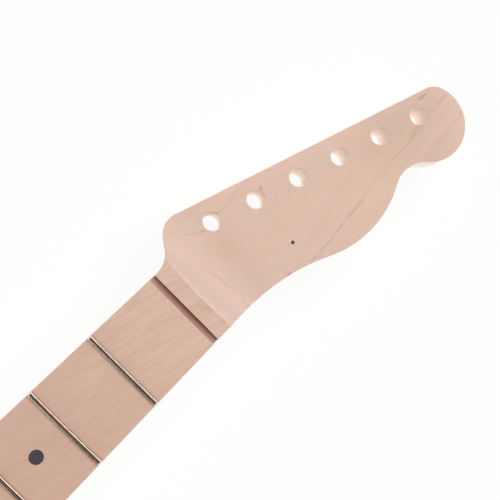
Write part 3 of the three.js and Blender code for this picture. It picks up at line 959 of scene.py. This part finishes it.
# %% Make the metals and plastics
SPOT_WAVES = (340, 340, 340)
SCRATCHED = {
    "fret_metal": ("nickel_silver", (216, 204, 192), (190, 177, 164), 0.2, 1.0,
                   (9000, 300, 9000), 0.0004),
    "marker_plastic": ("dark_marker", (76, 74, 79), (62, 60, 65), 0.42, 0.0,
                       (300, 6000, 6000), 0.006),
    "rod_steel": ("drawn_steel", (168, 171, 176), (128, 130, 134), 0.36, 1.0,
                  (200, 5000, 5000), 0.008),
    "block_brass": ("milled_brass", (201, 168, 104), (158, 124, 70), 0.38, 1.0,
                    (5000, 400, 5000), 0.01),
    "sleeve_plastic": ("black_sleeve", (38, 38, 42), (24, 24, 27), 0.5, 0.0,
                       (300, 5000, 5000), 0.006),
}


def scratched(name, colour, dark, roughness, metallic, waves, depth):
    """A material with fine scratches along one axis, and a slight change of tone."""
    material, shader, vector = start_material(name, roughness, metallic)
    lines = noise(vector, waves, 3.0, 0.6)
    tone = fade(lines + noise(vector, SPOT_WAVES, 3.0), 0.7, 1.3)
    fill(shader["Base Color"], blend(tone, linear(*dark), linear(*colour)))
    fill(shader["Roughness"], fade(lines, 0.3, 0.7, roughness * 0.8, roughness * 1.3))
    bumpy(shader, lines, depth * MM)
    return material


for slot, look in SCRATCHED.items():
    finishes[slot] = scratched(*look)
print("finishes:", sorted(finishes))

# %% [markdown]
# ## The neck's shaft
# The blank starts as a round bar from the butt to the headstock. Bisect cuts put a ring of
# points at each station along it, and then each ring is moved to the neck's section there: the
# curve of the board on top, square at the heel, half round where the hand goes, and square again
# at the headstock.

# %% Set the shaft's sizes
HEEL_LENGTH = 76.2 * MM
HEEL_RAMP = 40 * MM
FIRST_DEPTH = 20.8 * MM
OCTAVE_DEPTH = 22.4 * MM
SHOULDER_DROP = 0.5 * MM
BLEND_START = nut - 8 * MM
BLEND_END = nut + 36 * MM
SIDE_SHARE = 0.2
TOP_POINTS = 29
BACK_STEPS = 60
ramp_start = butt + HEEL_LENGTH
ramp_end = ramp_start + HEEL_RAMP
fret_one = middle_of("fret_01").x
octave = middle_of("fret_12").x


def ease(x, start, end):
    """Goes smoothly from 0 to 1."""
    share = min(max((x - start) / (end - start), 0), 1)
    return share * share * (3 - 2 * share)


def back_height(x):
    """How low the back lies along the neck."""
    slope = (OCTAVE_DEPTH - FIRST_DEPTH) / (fret_one - octave)
    shaft = crown - FIRST_DEPTH - slope * (fret_one - x)
    from_heel = mix(0, shaft, ease(x, ramp_start, ramp_end))
    return mix(from_heel, head_back, ease(x, BLEND_START, BLEND_END))


def squareness(x):
    """One on the heel and the headstock, and zero where the hand goes."""
    return max(1 - ease(x, ramp_start, ramp_end), ease(x, BLEND_START, BLEND_END))


def section_point(x, number):
    """One point of the section at x: across the top from treble to bass, then round the back."""
    low, high = edge_at(treble, x), edge_at(bass, x)
    if number < TOP_POINTS:
        y = mix(low, high, number / (TOP_POINTS - 1))
        return Vector((x, y, roof(y)))
    share = (number - TOP_POINTS) / BACK_STEPS
    square_y = min(max(1 - 2 * (share - SIDE_SHARE) / (1 - 2 * SIDE_SHARE), -1), 1)
    square_z = min(min(share, 1 - share) / SIDE_SHARE, 1)
    y = mix(math.cos(math.pi * share), square_y, squareness(x))
    z = mix(math.sin(math.pi * share), square_z, squareness(x))
    shoulder = glue - SHOULDER_DROP
    drop = shoulder - back_height(x)
    return Vector((x, (low + high) / 2 + y * (high - low) / 2, shoulder - drop * z))


print("at the first fret the neck is", round((crown - back_height(fret_one)) / MM, 1), "mm deep")

# %% Shape the shaft
RAMP_STEPS = 24
SHAFT_STEPS = 16
BLEND_STEPS = 44


def stations():
    """Where rings of points lie along the shaft, between its ends."""
    shaft = steps(ramp_end, BLEND_START, SHAFT_STEPS)[1:-1]
    head = steps(BLEND_START, BLEND_END, BLEND_STEPS)[:-1]
    return steps(ramp_start, ramp_end, RAMP_STEPS) + shaft + head


def shaft_blank():
    """The bar, cut into stations, with each ring moved to its section."""
    count = TOP_POINTS + BACK_STEPS + 1
    middle = ((butt + BLEND_END) / 2, 0, 0)
    piece = rod("shaft", "X", middle, 2.0, BLEND_END - butt, sides=count)
    edit(piece)
    slice_at(stations(), "X")
    only(piece)
    for vertex in piece.data.vertices:
        angle = math.atan2(vertex.co.z, vertex.co.y) % (2 * math.pi)
        number = round(angle / (2 * math.pi) * count) % count
        at_end = abs(vertex.co.x - BLEND_END) < TIDY_DISTANCE
        vertex.co = section_point(BLEND_END if at_end else vertex.co.x, number)
    face_outward(piece)
    return piece


neck = shaft_blank()
print("shaft:", len(neck.data.vertices), "points")

# %% [markdown]
# ## The headstock
# The headstock is a plank with the drawn outline, joined to the shaft face to face. A large
# round cutter then makes the scoop behind the nut, and a box takes the wood above the face. The
# crest of the scoop gets the board's radius, because neck and board are sanded together. The
# board's bed, the truss rod channel, the pocket for its key, the tuner holes and the screw holes
# follow as on the bench, each with a tool of its own shape.

# %% Join the headstock
ABOVE = 2 * MM


def headstock_outline():
    """The outline beyond the shaft, once round."""
    near = [Vector((BLEND_END, edge_at(treble, BLEND_END)))]
    near += [point for point in treble if point.x > BLEND_END]
    near += [point for point in reversed(bass[:-1]) if point.x > BLEND_END]
    return near + [Vector((BLEND_END, edge_at(bass, BLEND_END)))]


combine(neck, [plank("headstock", headstock_outline(), head_back, crown + ABOVE)], "UNION")
print("neck blank:", len(neck.data.polygons), "faces")

# %% Cut the bed, the scoop and the face
SCOOP_RADIUS = 42 * MM
SCOOP_STEPS = 40
ROOF_STEPS = 24
WIDE = 60 * MM
scoop_end = board_end + math.sqrt(SCOOP_RADIUS ** 2 - (SCOOP_RADIUS - FACE_DROP) ** 2)
scoop_centre = Vector((scoop_end, face + SCOOP_RADIUS))
scoop_reach = math.acos((SCOOP_RADIUS - FACE_DROP - ABOVE) / SCOOP_RADIUS)


def closed(profile):
    """A cutter's profile, closed above the wood."""
    top = crown + 2 * ABOVE
    return profile + [Vector((profile[-1].x, top)), Vector((profile[0].x, top))]


sweep = steps(-math.pi / 2 - scoop_reach, -math.pi / 2, SCOOP_STEPS)
scoop = [scoop_centre + towards(angle) * SCOOP_RADIUS for angle in sweep]
scoop.append(Vector((tip.x + ABOVE, face)))
radius = [Vector((y, roof(y))) for y in steps(-WIDE, WIDE, ROOF_STEPS)]
bed = cube("bed", (butt - ABOVE, -WIDE, glue), (board_end, WIDE, crown + 2 * ABOVE))
combine(neck, [bed])
combine(neck, [plank("scoop", closed(scoop), -WIDE, WIDE, "Y")])
combine(neck, [plank("radius", closed(radius), board_end - ABOVE, scoop_end, "X")])
tidy(neck)
print("scoop ends", round((scoop_end - nut) / MM, 1), "mm past the nut")

# %% [markdown]
# The edges are eased before the holes are drilled, so that the bevel runs cleanly round the
# outline. Sharp edges are found by the angle between their faces and by their place. Points
# that crowd together on a rim are merged first, because a bevel wider than an edge is long
# makes a spike there.

# %% Ease the neck's edges
EASE_HEAD = 0.45 * MM
EASE_HEEL = 0.8 * MM
CROWDED = 0.16 * MM
NEAR = 0.05 * MM
LOW_RIM = 0.2 * MM
CREST_LENGTH = 1.5 * MM
CREST_HALF = 20.2 * MM


def is_sharp(edge):
    """True where two faces meet at a clear angle."""
    return len(edge.link_faces) == 2 and edge.calc_face_angle(0) > SHARP


def edge_middle(edge):
    """The middle of an edge."""
    return (edge.verts[0].co + edge.verts[1].co) / 2


def on_head(edge):
    """True for the rims of the headstock and the sides of the scoop, but not for its crest."""
    past = min(vertex.co.x for vertex in edge.verts) - board_end
    on_crest = past < CREST_LENGTH and abs(edge_middle(edge).y) < CREST_HALF
    return is_sharp(edge) and past > NEAR and not on_crest


def on_heel(edge):
    """True for the lower rims of the heel and its upright corners."""
    middle = edge_middle(edge)
    low = middle.z < LOW_RIM and middle.x < ramp_end
    corner = middle.x < butt + ABOVE and abs(middle.y) > HEEL_HALF - ABOVE
    return is_sharp(edge) and (low or corner)


neck_finishes = ("neck_maple", "neck_edge", "neck_rim_painted_light", "neck_hole_painted_light")
paint(neck, *neck_finishes)
for test, width in ((on_head, EASE_HEAD), (on_heel, EASE_HEEL)):
    choose(neck, "EDGE", test)
    bpy.ops.mesh.remove_doubles(threshold=CROWDED)
    print("eased", choose(neck, "EDGE", test), "edges")
    bpy.ops.mesh.bevel(offset=width, segments=3, material=neck_finishes.index("neck_edge"))

# %% Cut the channel and drill the holes
CHANNEL_HALF = 3.5 * MM
TUNER_HOLE = 9.1 * MM
TREE_HOLE = 2 * MM
TREE_DEPTH = 9 * MM
TREE_PLACE = (nut + 62.5 * MM, 6.2 * MM - NUT_HALF)
SCREW_HOLE = 3.4 * MM
SCREW_DEPTH = 15 * MM
SCREW_SPAN = (50.8 * MM, 38.1 * MM)
POCKET_GAP = 0.5 * MM
RIM_BREAK = 0.3 * MM
rear_block_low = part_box("truss_rod_rear_block")[0]
channel_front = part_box("truss_rod_front_block")[1].x + ABOVE
key_low, key_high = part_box("truss_rod_key_nut")
rod_height = middle_of("truss_rod_key_nut").z


def drill(place, low, high, diameter):
    """An upright drill at a place, between two heights."""
    return rod("drill", "Z", (place[0], place[1], (low + high) / 2), diameter, high - low)


drills = [drill(place, head_back - ABOVE, face + ABOVE, TUNER_HOLE) for place in tuners]
drills.append(drill(TREE_PLACE, face - TREE_DEPTH, face + ABOVE, TREE_HOLE))
for x in (-SCREW_SPAN[0] / 2, SCREW_SPAN[0] / 2):
    for y in (-SCREW_SPAN[1] / 2, SCREW_SPAN[1] / 2):
        drills.append(drill((x, y), -ABOVE, SCREW_DEPTH, SCREW_HOLE))
combine(neck, drills)
channel = cube("channel", (butt - ABOVE, -CHANNEL_HALF, rear_block_low.z),
               (channel_front, CHANNEL_HALF, glue + ABOVE))
combine(neck, [channel])
pocket_diameter = key_high.z - key_low.z + 2 * POCKET_GAP
pocket_length = rear_block_low.x - butt + ABOVE
pocket_middle = (rear_block_low.x - pocket_length / 2, 0, rod_height)
combine(neck, [rod("pocket", "X", pocket_middle, pocket_diameter, pocket_length)])


def at_tuner(point):
    """True for a point on the wall of a tuner hole."""
    near = min((point.xy - place).length for place in tuners)
    return near < TUNER_HOLE / 2 + NEAR


def on_tuner_rim(edge):
    """True for the upper and the lower rims of the tuner holes."""
    low, high = sorted(vertex.co.z for vertex in edge.verts)
    return is_sharp(edge) and high - low < TIDY_DISTANCE and at_tuner(edge_middle(edge))


def in_hole(part):
    """True for the walls of the tuner holes."""
    return at_tuner(part.calc_center_median()) and abs(part.normal.z) < UPRIGHT


# The tuner holes' rims are bevelled and get painted light, and their walls get stronger painted
# light.
print("tuner rims:", choose(neck, "EDGE", on_tuner_rim), "edges")
bpy.ops.mesh.bevel(offset=RIM_BREAK, segments=1, material=neck_finishes.index("neck_rim_painted_light"))
repaint(neck, in_hole, "neck_hole_painted_light")
neck.name = "maple_neck"
ready(neck, "neck", "neck_maple")

# %% [markdown]
# ## The fingerboard
# The fingerboard starts as a block, sliced into strips along its length and across the outline's
# corners. Each point is then moved to its place on the outline, and the upper ones to the large
# cylinder that gives the playing radius. Its long top edges are rolled over, as a hand would
# feel them. Then the nut slot and the fret slots are sawn and the pockets for markers drilled.

# %% Shape the fingerboard
BOARD_STRIPS = 36
ROLL = 0.4 * MM
SHORTEST = 0.3 * MM
LONG_EDGE = 0.1 * MM


def board_stations():
    """Where the outline turns, between the board's ends."""
    turns = sorted(point.x for point in treble + bass if butt < point.x < board_end - SHORTEST)
    kept = []
    for x in turns:
        if not kept or x - kept[-1] > SHORTEST:
            kept.append(x)
    return kept


board = cube("board", (butt, -1, glue), (board_end, 1, crown))
edit(board)
slice_at(steps(-1, 1, BOARD_STRIPS)[1:-1], "Y")
slice_at(board_stations(), "X")
only(board)
for vertex in board.data.vertices:
    low, high = edge_at(treble, vertex.co.x), edge_at(bass, vertex.co.x)
    vertex.co.y = mix(low, high, (vertex.co.y + 1) / 2)
    if vertex.co.z > glue + ABOVE:
        vertex.co.z = roof(vertex.co.y)
print("board blank:", len(board.data.polygons), "faces")


def on_top_edge(edge):
    """True for the two long edges that the hand feels."""
    along = abs(edge.verts[0].co.x - edge.verts[1].co.x)
    low = min(vertex.co.z for vertex in edge.verts)
    return is_sharp(edge) and along > LONG_EDGE and low > glue + ABOVE


board_finishes = ("board_maple", "board_edge", "board_slot_painted_shade")
paint(board, *board_finishes)
print("rolled", choose(board, "EDGE", on_top_edge), "edges")
bpy.ops.mesh.bevel(offset=ROLL, segments=3, material=board_finishes.index("board_edge"))

# %% Saw the slots and drill the pockets
NUT_SLOT_WIDTH = 3.2 * MM
NUT_SLOT_DEPTH = 3.6 * MM
SAW_WIDTH = 0.6 * MM
SAW_DEPTH = 2.4 * MM
HAIR = 0.04 * MM
MARKERS = [(node, "Z", 64) for node in FACE_DOTS] + [(node, "Y", 32) for node in SIDE_DOTS]


def slot_saw(x, width, floor):
    """A saw cut across the whole board."""
    return cube("saw", (x - width / 2, -WIDE, floor), (x + width / 2, WIDE, crown + ABOVE))


def pocket_drill(node, axis, sides):
    """A drill for a marker's pocket, which starts above the board's surface."""
    low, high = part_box(node)
    way = AXES[axis]
    length = (high - low).dot(way) + ABOVE
    place = middle_of(node) + way * ABOVE / 2
    return rod("drill", axis, place, high.x - low.x + 2 * HAIR, length, sides)


saws = [slot_saw(nut + NUT_SLOT_WIDTH / 2, NUT_SLOT_WIDTH, crown - NUT_SLOT_DEPTH)]
saws += [slot_saw(middle_of(node).x, SAW_WIDTH, roof(HEEL_HALF) - SAW_DEPTH) for node in FRETS]
combine(board, saws)
combine(board, [pocket_drill(*marker) for marker in MARKERS])


def in_nut_slot(part):
    """True for the floor and the walls of the nut slot, which get painted shade."""
    off = part.calc_center_median().x - nut
    return -TIDY_DISTANCE < off < NUT_SLOT_WIDTH + TIDY_DISTANCE


# The nut slot's floor and walls get painted shade.
repaint(board, in_nut_slot, "board_slot_painted_shade")
board.name = "maple_fingerboard"
ready(board, "fingerboard", "board_maple")

# %% [markdown]
# ## The frets
# A fret is a length of wire with a round crown and a thin tang that holds it in its slot. The
# wire is modelled once: a disc is cut in half and flattened to the crown, its middle is drawn
# down to make the tang, and the profile is spun round the board's radius. Each fret is a copy
# that is cut to its place's width, with its ends filed to a slant and its edges dulled.

# %% Roll the fret wire
CROWN_WIDTH = 2.45 * MM
CROWN_HEIGHT = 1.15 * MM
TANG_WIDTH = 0.5 * MM
TANG_DEPTH = 2 * MM
WIRE_STEPS = 32
WIRE_HALF_ANGLE = 0.13
FILE_ANGLE = math.radians(30)
DULL = 0.09 * MM
DULL_ANGLE = math.radians(35)
DISC_POINTS = 48


def fret_wire():
    """A long piece of wire, bent over the board's radius, across the neck at x = 0."""
    choose_nothing()
    bpy.ops.mesh.primitive_circle_add(vertices=DISC_POINTS, radius=CROWN_WIDTH / 2,
                                      fill_type="NGON", rotation=(math.pi / 2, 0, 0))
    piece = settle("wire")
    edit(piece, "FACE")
    slice_at([0], "Z", clear_inner=True)
    bpy.ops.mesh.select_all(action="SELECT")
    flatten = CROWN_HEIGHT / (CROWN_WIDTH / 2)
    bpy.ops.transform.resize(value=(1, 1, flatten), center_override=(0, 0, 0))
    slice_at([-TANG_WIDTH / 2, TANG_WIDTH / 2], "X")
    limit = TANG_WIDTH / 2 + TIDY_DISTANCE
    choose(piece, "EDGE", lambda edge: all(
        abs(v.co.x) < limit and abs(v.co.z) < TIDY_DISTANCE for v in edge.verts))
    bpy.ops.mesh.extrude_region_move(TRANSFORM_OT_translate={"value": (0, 0, -TANG_DEPTH)})
    only(piece)
    centre = (0, 0, crown - BOARD_RADIUS)
    edit(piece, "FACE", "SELECT")
    bpy.ops.transform.translate(value=(0, 0, crown))
    bpy.ops.transform.rotate(value=-WIRE_HALF_ANGLE, orient_axis="X", center_override=centre)
    bpy.ops.mesh.spin(steps=WIRE_STEPS, angle=2 * WIRE_HALF_ANGLE, center=centre, axis=(1, 0, 0))
    bpy.ops.mesh.select_all(action="SELECT")
    bpy.ops.mesh.remove_doubles(threshold=TIDY_DISTANCE)
    face_outward(piece)
    return piece


wire = fret_wire()
wire_y = [vertex.co.y / MM for vertex in wire.data.vertices]
print("wire from", round(min(wire_y), 1), "to", round(max(wire_y), 1), "mm")

# %% Cut and file each fret


def copy_of(piece, name):
    """A copy with its own mesh."""
    only(piece)
    bpy.ops.object.duplicate()
    made = bpy.context.object
    made.name = name
    made.data.name = name
    return made


def fret_ends(half):
    """The shape that a fret is cut to, across the neck: upright at the tang, then slanting in."""
    top = crown + ABOVE
    seat = roof(half)
    filed = half - (top - seat) * math.tan(FILE_ANGLE)
    low = glue + ABOVE
    return [Vector(place) for place in ((-half, low), (half, low), (half, seat), (filed, top),
                                        (-filed, top), (-half, seat))]


for node in FRETS:
    middle = middle_of(node)
    fret = copy_of(wire, node.replace("fret", "fret_wire"))
    edit(fret, "VERT", "SELECT")
    bpy.ops.transform.translate(value=(middle.x, 0, 0))
    trim = plank("trim", fret_ends(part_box(node)[1].y), middle.x - ABOVE, middle.x + ABOVE, "X")
    combine(fret, [trim], "INTERSECT")
    modify(fret, "BEVEL", width=DULL, segments=2, angle_limit=DULL_ANGLE)
    ready(fret, node, "fret_metal")
bpy.data.objects.remove(wire)

# %% [markdown]
# ## The markers
# A marker is a short rod of plastic, glued into its pocket and sanded with the board. Its top
# therefore has the board's own curve: the top face is inset twice, and its rings of points are
# set down on the radius. The side markers are thinner rods that end flush with the board's edge.

# %% Set the markers
INSETS = {"Z": (0.15, 0.4), "Y": (0.2,)}
SURFACES = {"Z": lambda place: roof(place.y), "Y": lambda place: half_width(place.x)}


def set_marker(node, axis, sides):
    """A round inlay whose outer end is inset and then laid on the board's surface."""
    low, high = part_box(node)
    middle = middle_of(node)
    number = "XYZ".index(axis)
    diameter = high.x - low.x
    name = node.replace("face_dot", "marker").replace("side_dot", "side_marker")
    piece = rod(name, axis, middle, diameter, high[number] - low[number], sides)
    choose(piece, "FACE", lambda part: part.normal[number] > END_ON)
    for share in INSETS[axis]:
        bpy.ops.mesh.inset(thickness=share * diameter / 2)
    only(piece)
    for vertex in piece.data.vertices:
        if vertex.co[number] > middle[number]:
            vertex.co[number] = SURFACES[axis](vertex.co)
    ready(piece, node, "marker_plastic")


for marker in MARKERS:
    set_marker(*marker)

# %% [markdown]
# ## The truss rod
# The rod hides in its channel, and only the key nut shows, in its pocket at the butt. The nut is
# a steel cylinder with chamfered rims and a hexagonal socket. The other pieces are right as they
# are in the frame, but for their edges: each is copied, its loose triangles are merged, and a
# bevel breaks its edges.

# %% Make the key nut
SOCKET_ACROSS_FLATS = 4 * MM
SOCKET_DEPTH = 7 * MM
NUT_CHAMFER = 0.5 * MM
NUT_EDGE = 0.12 * MM
NUT_SIDES = 96

key_size = key_high - key_low
key_nut = rod("key_nut", "X", middle_of("truss_rod_key_nut"), key_size.z, key_size.x, NUT_SIDES)
choose(key_nut, "FACE", lambda part: abs(part.normal.x) > END_ON)
bpy.ops.mesh.region_to_loop()
bpy.ops.mesh.bevel(offset=NUT_CHAMFER, segments=3)
socket_middle = (key_low.x - ABOVE + (SOCKET_DEPTH + ABOVE) / 2, 0, rod_height)
socket_diameter = SOCKET_ACROSS_FLATS / math.cos(math.pi / 6)
combine(key_nut, [rod("socket", "X", socket_middle, socket_diameter, SOCKET_DEPTH + ABOVE, 6)])
modify(key_nut, "BEVEL", width=NUT_EDGE, segments=2, angle_limit=SHARP)
ready(key_nut, "truss_rod_key_nut", "rod_steel")

# %% Break the edges of the rod's other pieces
ROD_PARTS = {
    "screw": ("rod_steel", 0.15 * MM),
    "flat_bar": ("rod_steel", 0.15 * MM),
    "front_block": ("block_brass", 0.15 * MM),
    "rear_block": ("block_brass", 0.15 * MM),
    "sleeve": ("sleeve_plastic", 0.05 * MM),
}


def broken_edges(part, finish, width):
    """A merged copy of a CAD node with its edges broken."""
    node = "truss_rod_" + part
    piece = copy_of(frame["nodes"][node], "rod_" + part)
    for key in list(piece.keys()):
        if key.startswith("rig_"):
            del piece[key]
    piece.parent = None
    piece.data.materials.clear()
    tidy(piece)
    modify(piece, "BEVEL", width=width, segments=2, angle_limit=SHARP)
    ready(piece, node, finish)


for part, look in ROD_PARTS.items():
    broken_edges(part, *look)

# %% [markdown]
# ## Floor and light
# The photograph has a plain white ground that glows a little, as a light table does, so the
# walls of the holes are bright. A wide floor lies under the neck. It is white and still shows a
# faint shadow. The world is a light tent: bright low down all round, which lights the neck's
# sides as much as its top, and dim above. A broad sun from the headstock's end shapes the
# scoop, the slot and the frets. Polished metal sees a dark ceiling with one strip of light, and
# bright walls, as it would in a small studio. A low wall on the heel's side draws a second bright
# line along the frets.

# %% Lay the floor
FLOOR_HEIGHT = -25 * MM
FLOOR_SIZE = 6.0
FLOOR_MIDDLE = 0.25
FLOOR_COLOUR = (0.9, 0.9, 0.9, 1)
FLOOR_ROUGHNESS = 0.9
FLOOR_GLOW = 0.9
TABLE_LEVEL = 1.22

choose_nothing()
bpy.ops.mesh.primitive_plane_add(size=FLOOR_SIZE, location=(FLOOR_MIDDLE, 0, FLOOR_HEIGHT))
floor = settle("floor")
floor_paint = bpy.data.materials.new("floor_paint")
floor_paint.use_nodes = True
tree = floor_paint.node_tree
shader = tree.nodes["Principled BSDF"]
shader.inputs["Base Color"].default_value = FLOOR_COLOUR
shader.inputs["Roughness"].default_value = FLOOR_ROUGHNESS
seen = from_node(tree, "LightPath", output="Is Camera Ray")
glow = from_node(tree, "Emission", {"Strength": seen * (1.0 - TABLE_LEVEL) + TABLE_LEVEL})
lit = from_node(tree, "MixShader", {0: FLOOR_GLOW, 1: Value(shader.outputs[0]), 2: glow})
clear = from_node(tree, "BsdfTransparent")
under = from_node(tree, "NewGeometry", output="Backfacing")
both = from_node(tree, "MixShader", {0: under, 1: lit, 2: clear})
fill(tree.nodes["Material Output"].inputs["Surface"], both)
floor.data.materials.append(floor_paint)
print("the floor lies", round(-FLOOR_HEIGHT / MM), "mm under the heel")

# %% Light the neck
WHITE = (1, 1, 1, 1)
HORIZON = (2.0, 2.0, 2.0, 1)
SKY = (0.2, 0.2, 0.2, 1)
SKY_STARTS = 0.42
SUN_LEVEL = 2.6
SUN_HEIGHT = math.radians(62)
SUN_SOFTNESS = math.radians(50)
WALL_SEEN = (2.3, 2.24, 2.24, 1)
CEILING_SEEN = (0.12, 0.085, 0.07, 1)
CEILING = (0.15, 0.45)
CEILING_TILT = 0.25
STRIP_PLACE = 0.32
STRIP_HALF = 0.16
STRIP_SHARE = 0.6
LOW_WALL = (0.38, 0.2)
LOW_WALL_TURN = (-0.35, -0.6)
LOW_WALL_SIDE = (-0.16, 0.1)

world = bpy.data.worlds.new("studio")
bpy.context.scene.world = world
world.use_nodes = True
tree = world.node_tree
x, y, z = axes(from_node(tree, "TexCoord", output="Generated"))
soft = blend(fade(z, 0.0, SKY_STARTS), HORIZON, SKY)
seen = blend(fade(x * -CEILING_TILT + z, *CEILING), WALL_SEEN, CEILING_SEEN)
low_wall = fade(z, *LOW_WALL) * fade(x, *LOW_WALL_TURN) * fade(y, *LOW_WALL_SIDE)
seen = blend(low_wall, seen, WALL_SEEN)
strip = fade(abs(x + STRIP_PLACE), STRIP_HALF, 0.0, 0.0, STRIP_SHARE)
seen = blend(strip, seen, WHITE)
colour = blend(from_node(tree, "LightPath", output="Is Glossy Ray"), soft, seen)
colour = blend(from_node(tree, "LightPath", output="Is Camera Ray"), colour, WHITE)
fill(tree.nodes["Background"].inputs["Color"], colour)

sun = bpy.data.objects.new("sun", bpy.data.lights.new("sun", "SUN"))
bpy.context.scene.collection.objects.link(sun)
sun.data.energy = SUN_LEVEL
sun.data.angle = SUN_SOFTNESS
sun.rotation_euler = (0, math.pi / 2 - SUN_HEIGHT, 0)
sun.visible_glossy = False
print("horizon", HORIZON[0], "sky", SKY[0], "sun", SUN_LEVEL)
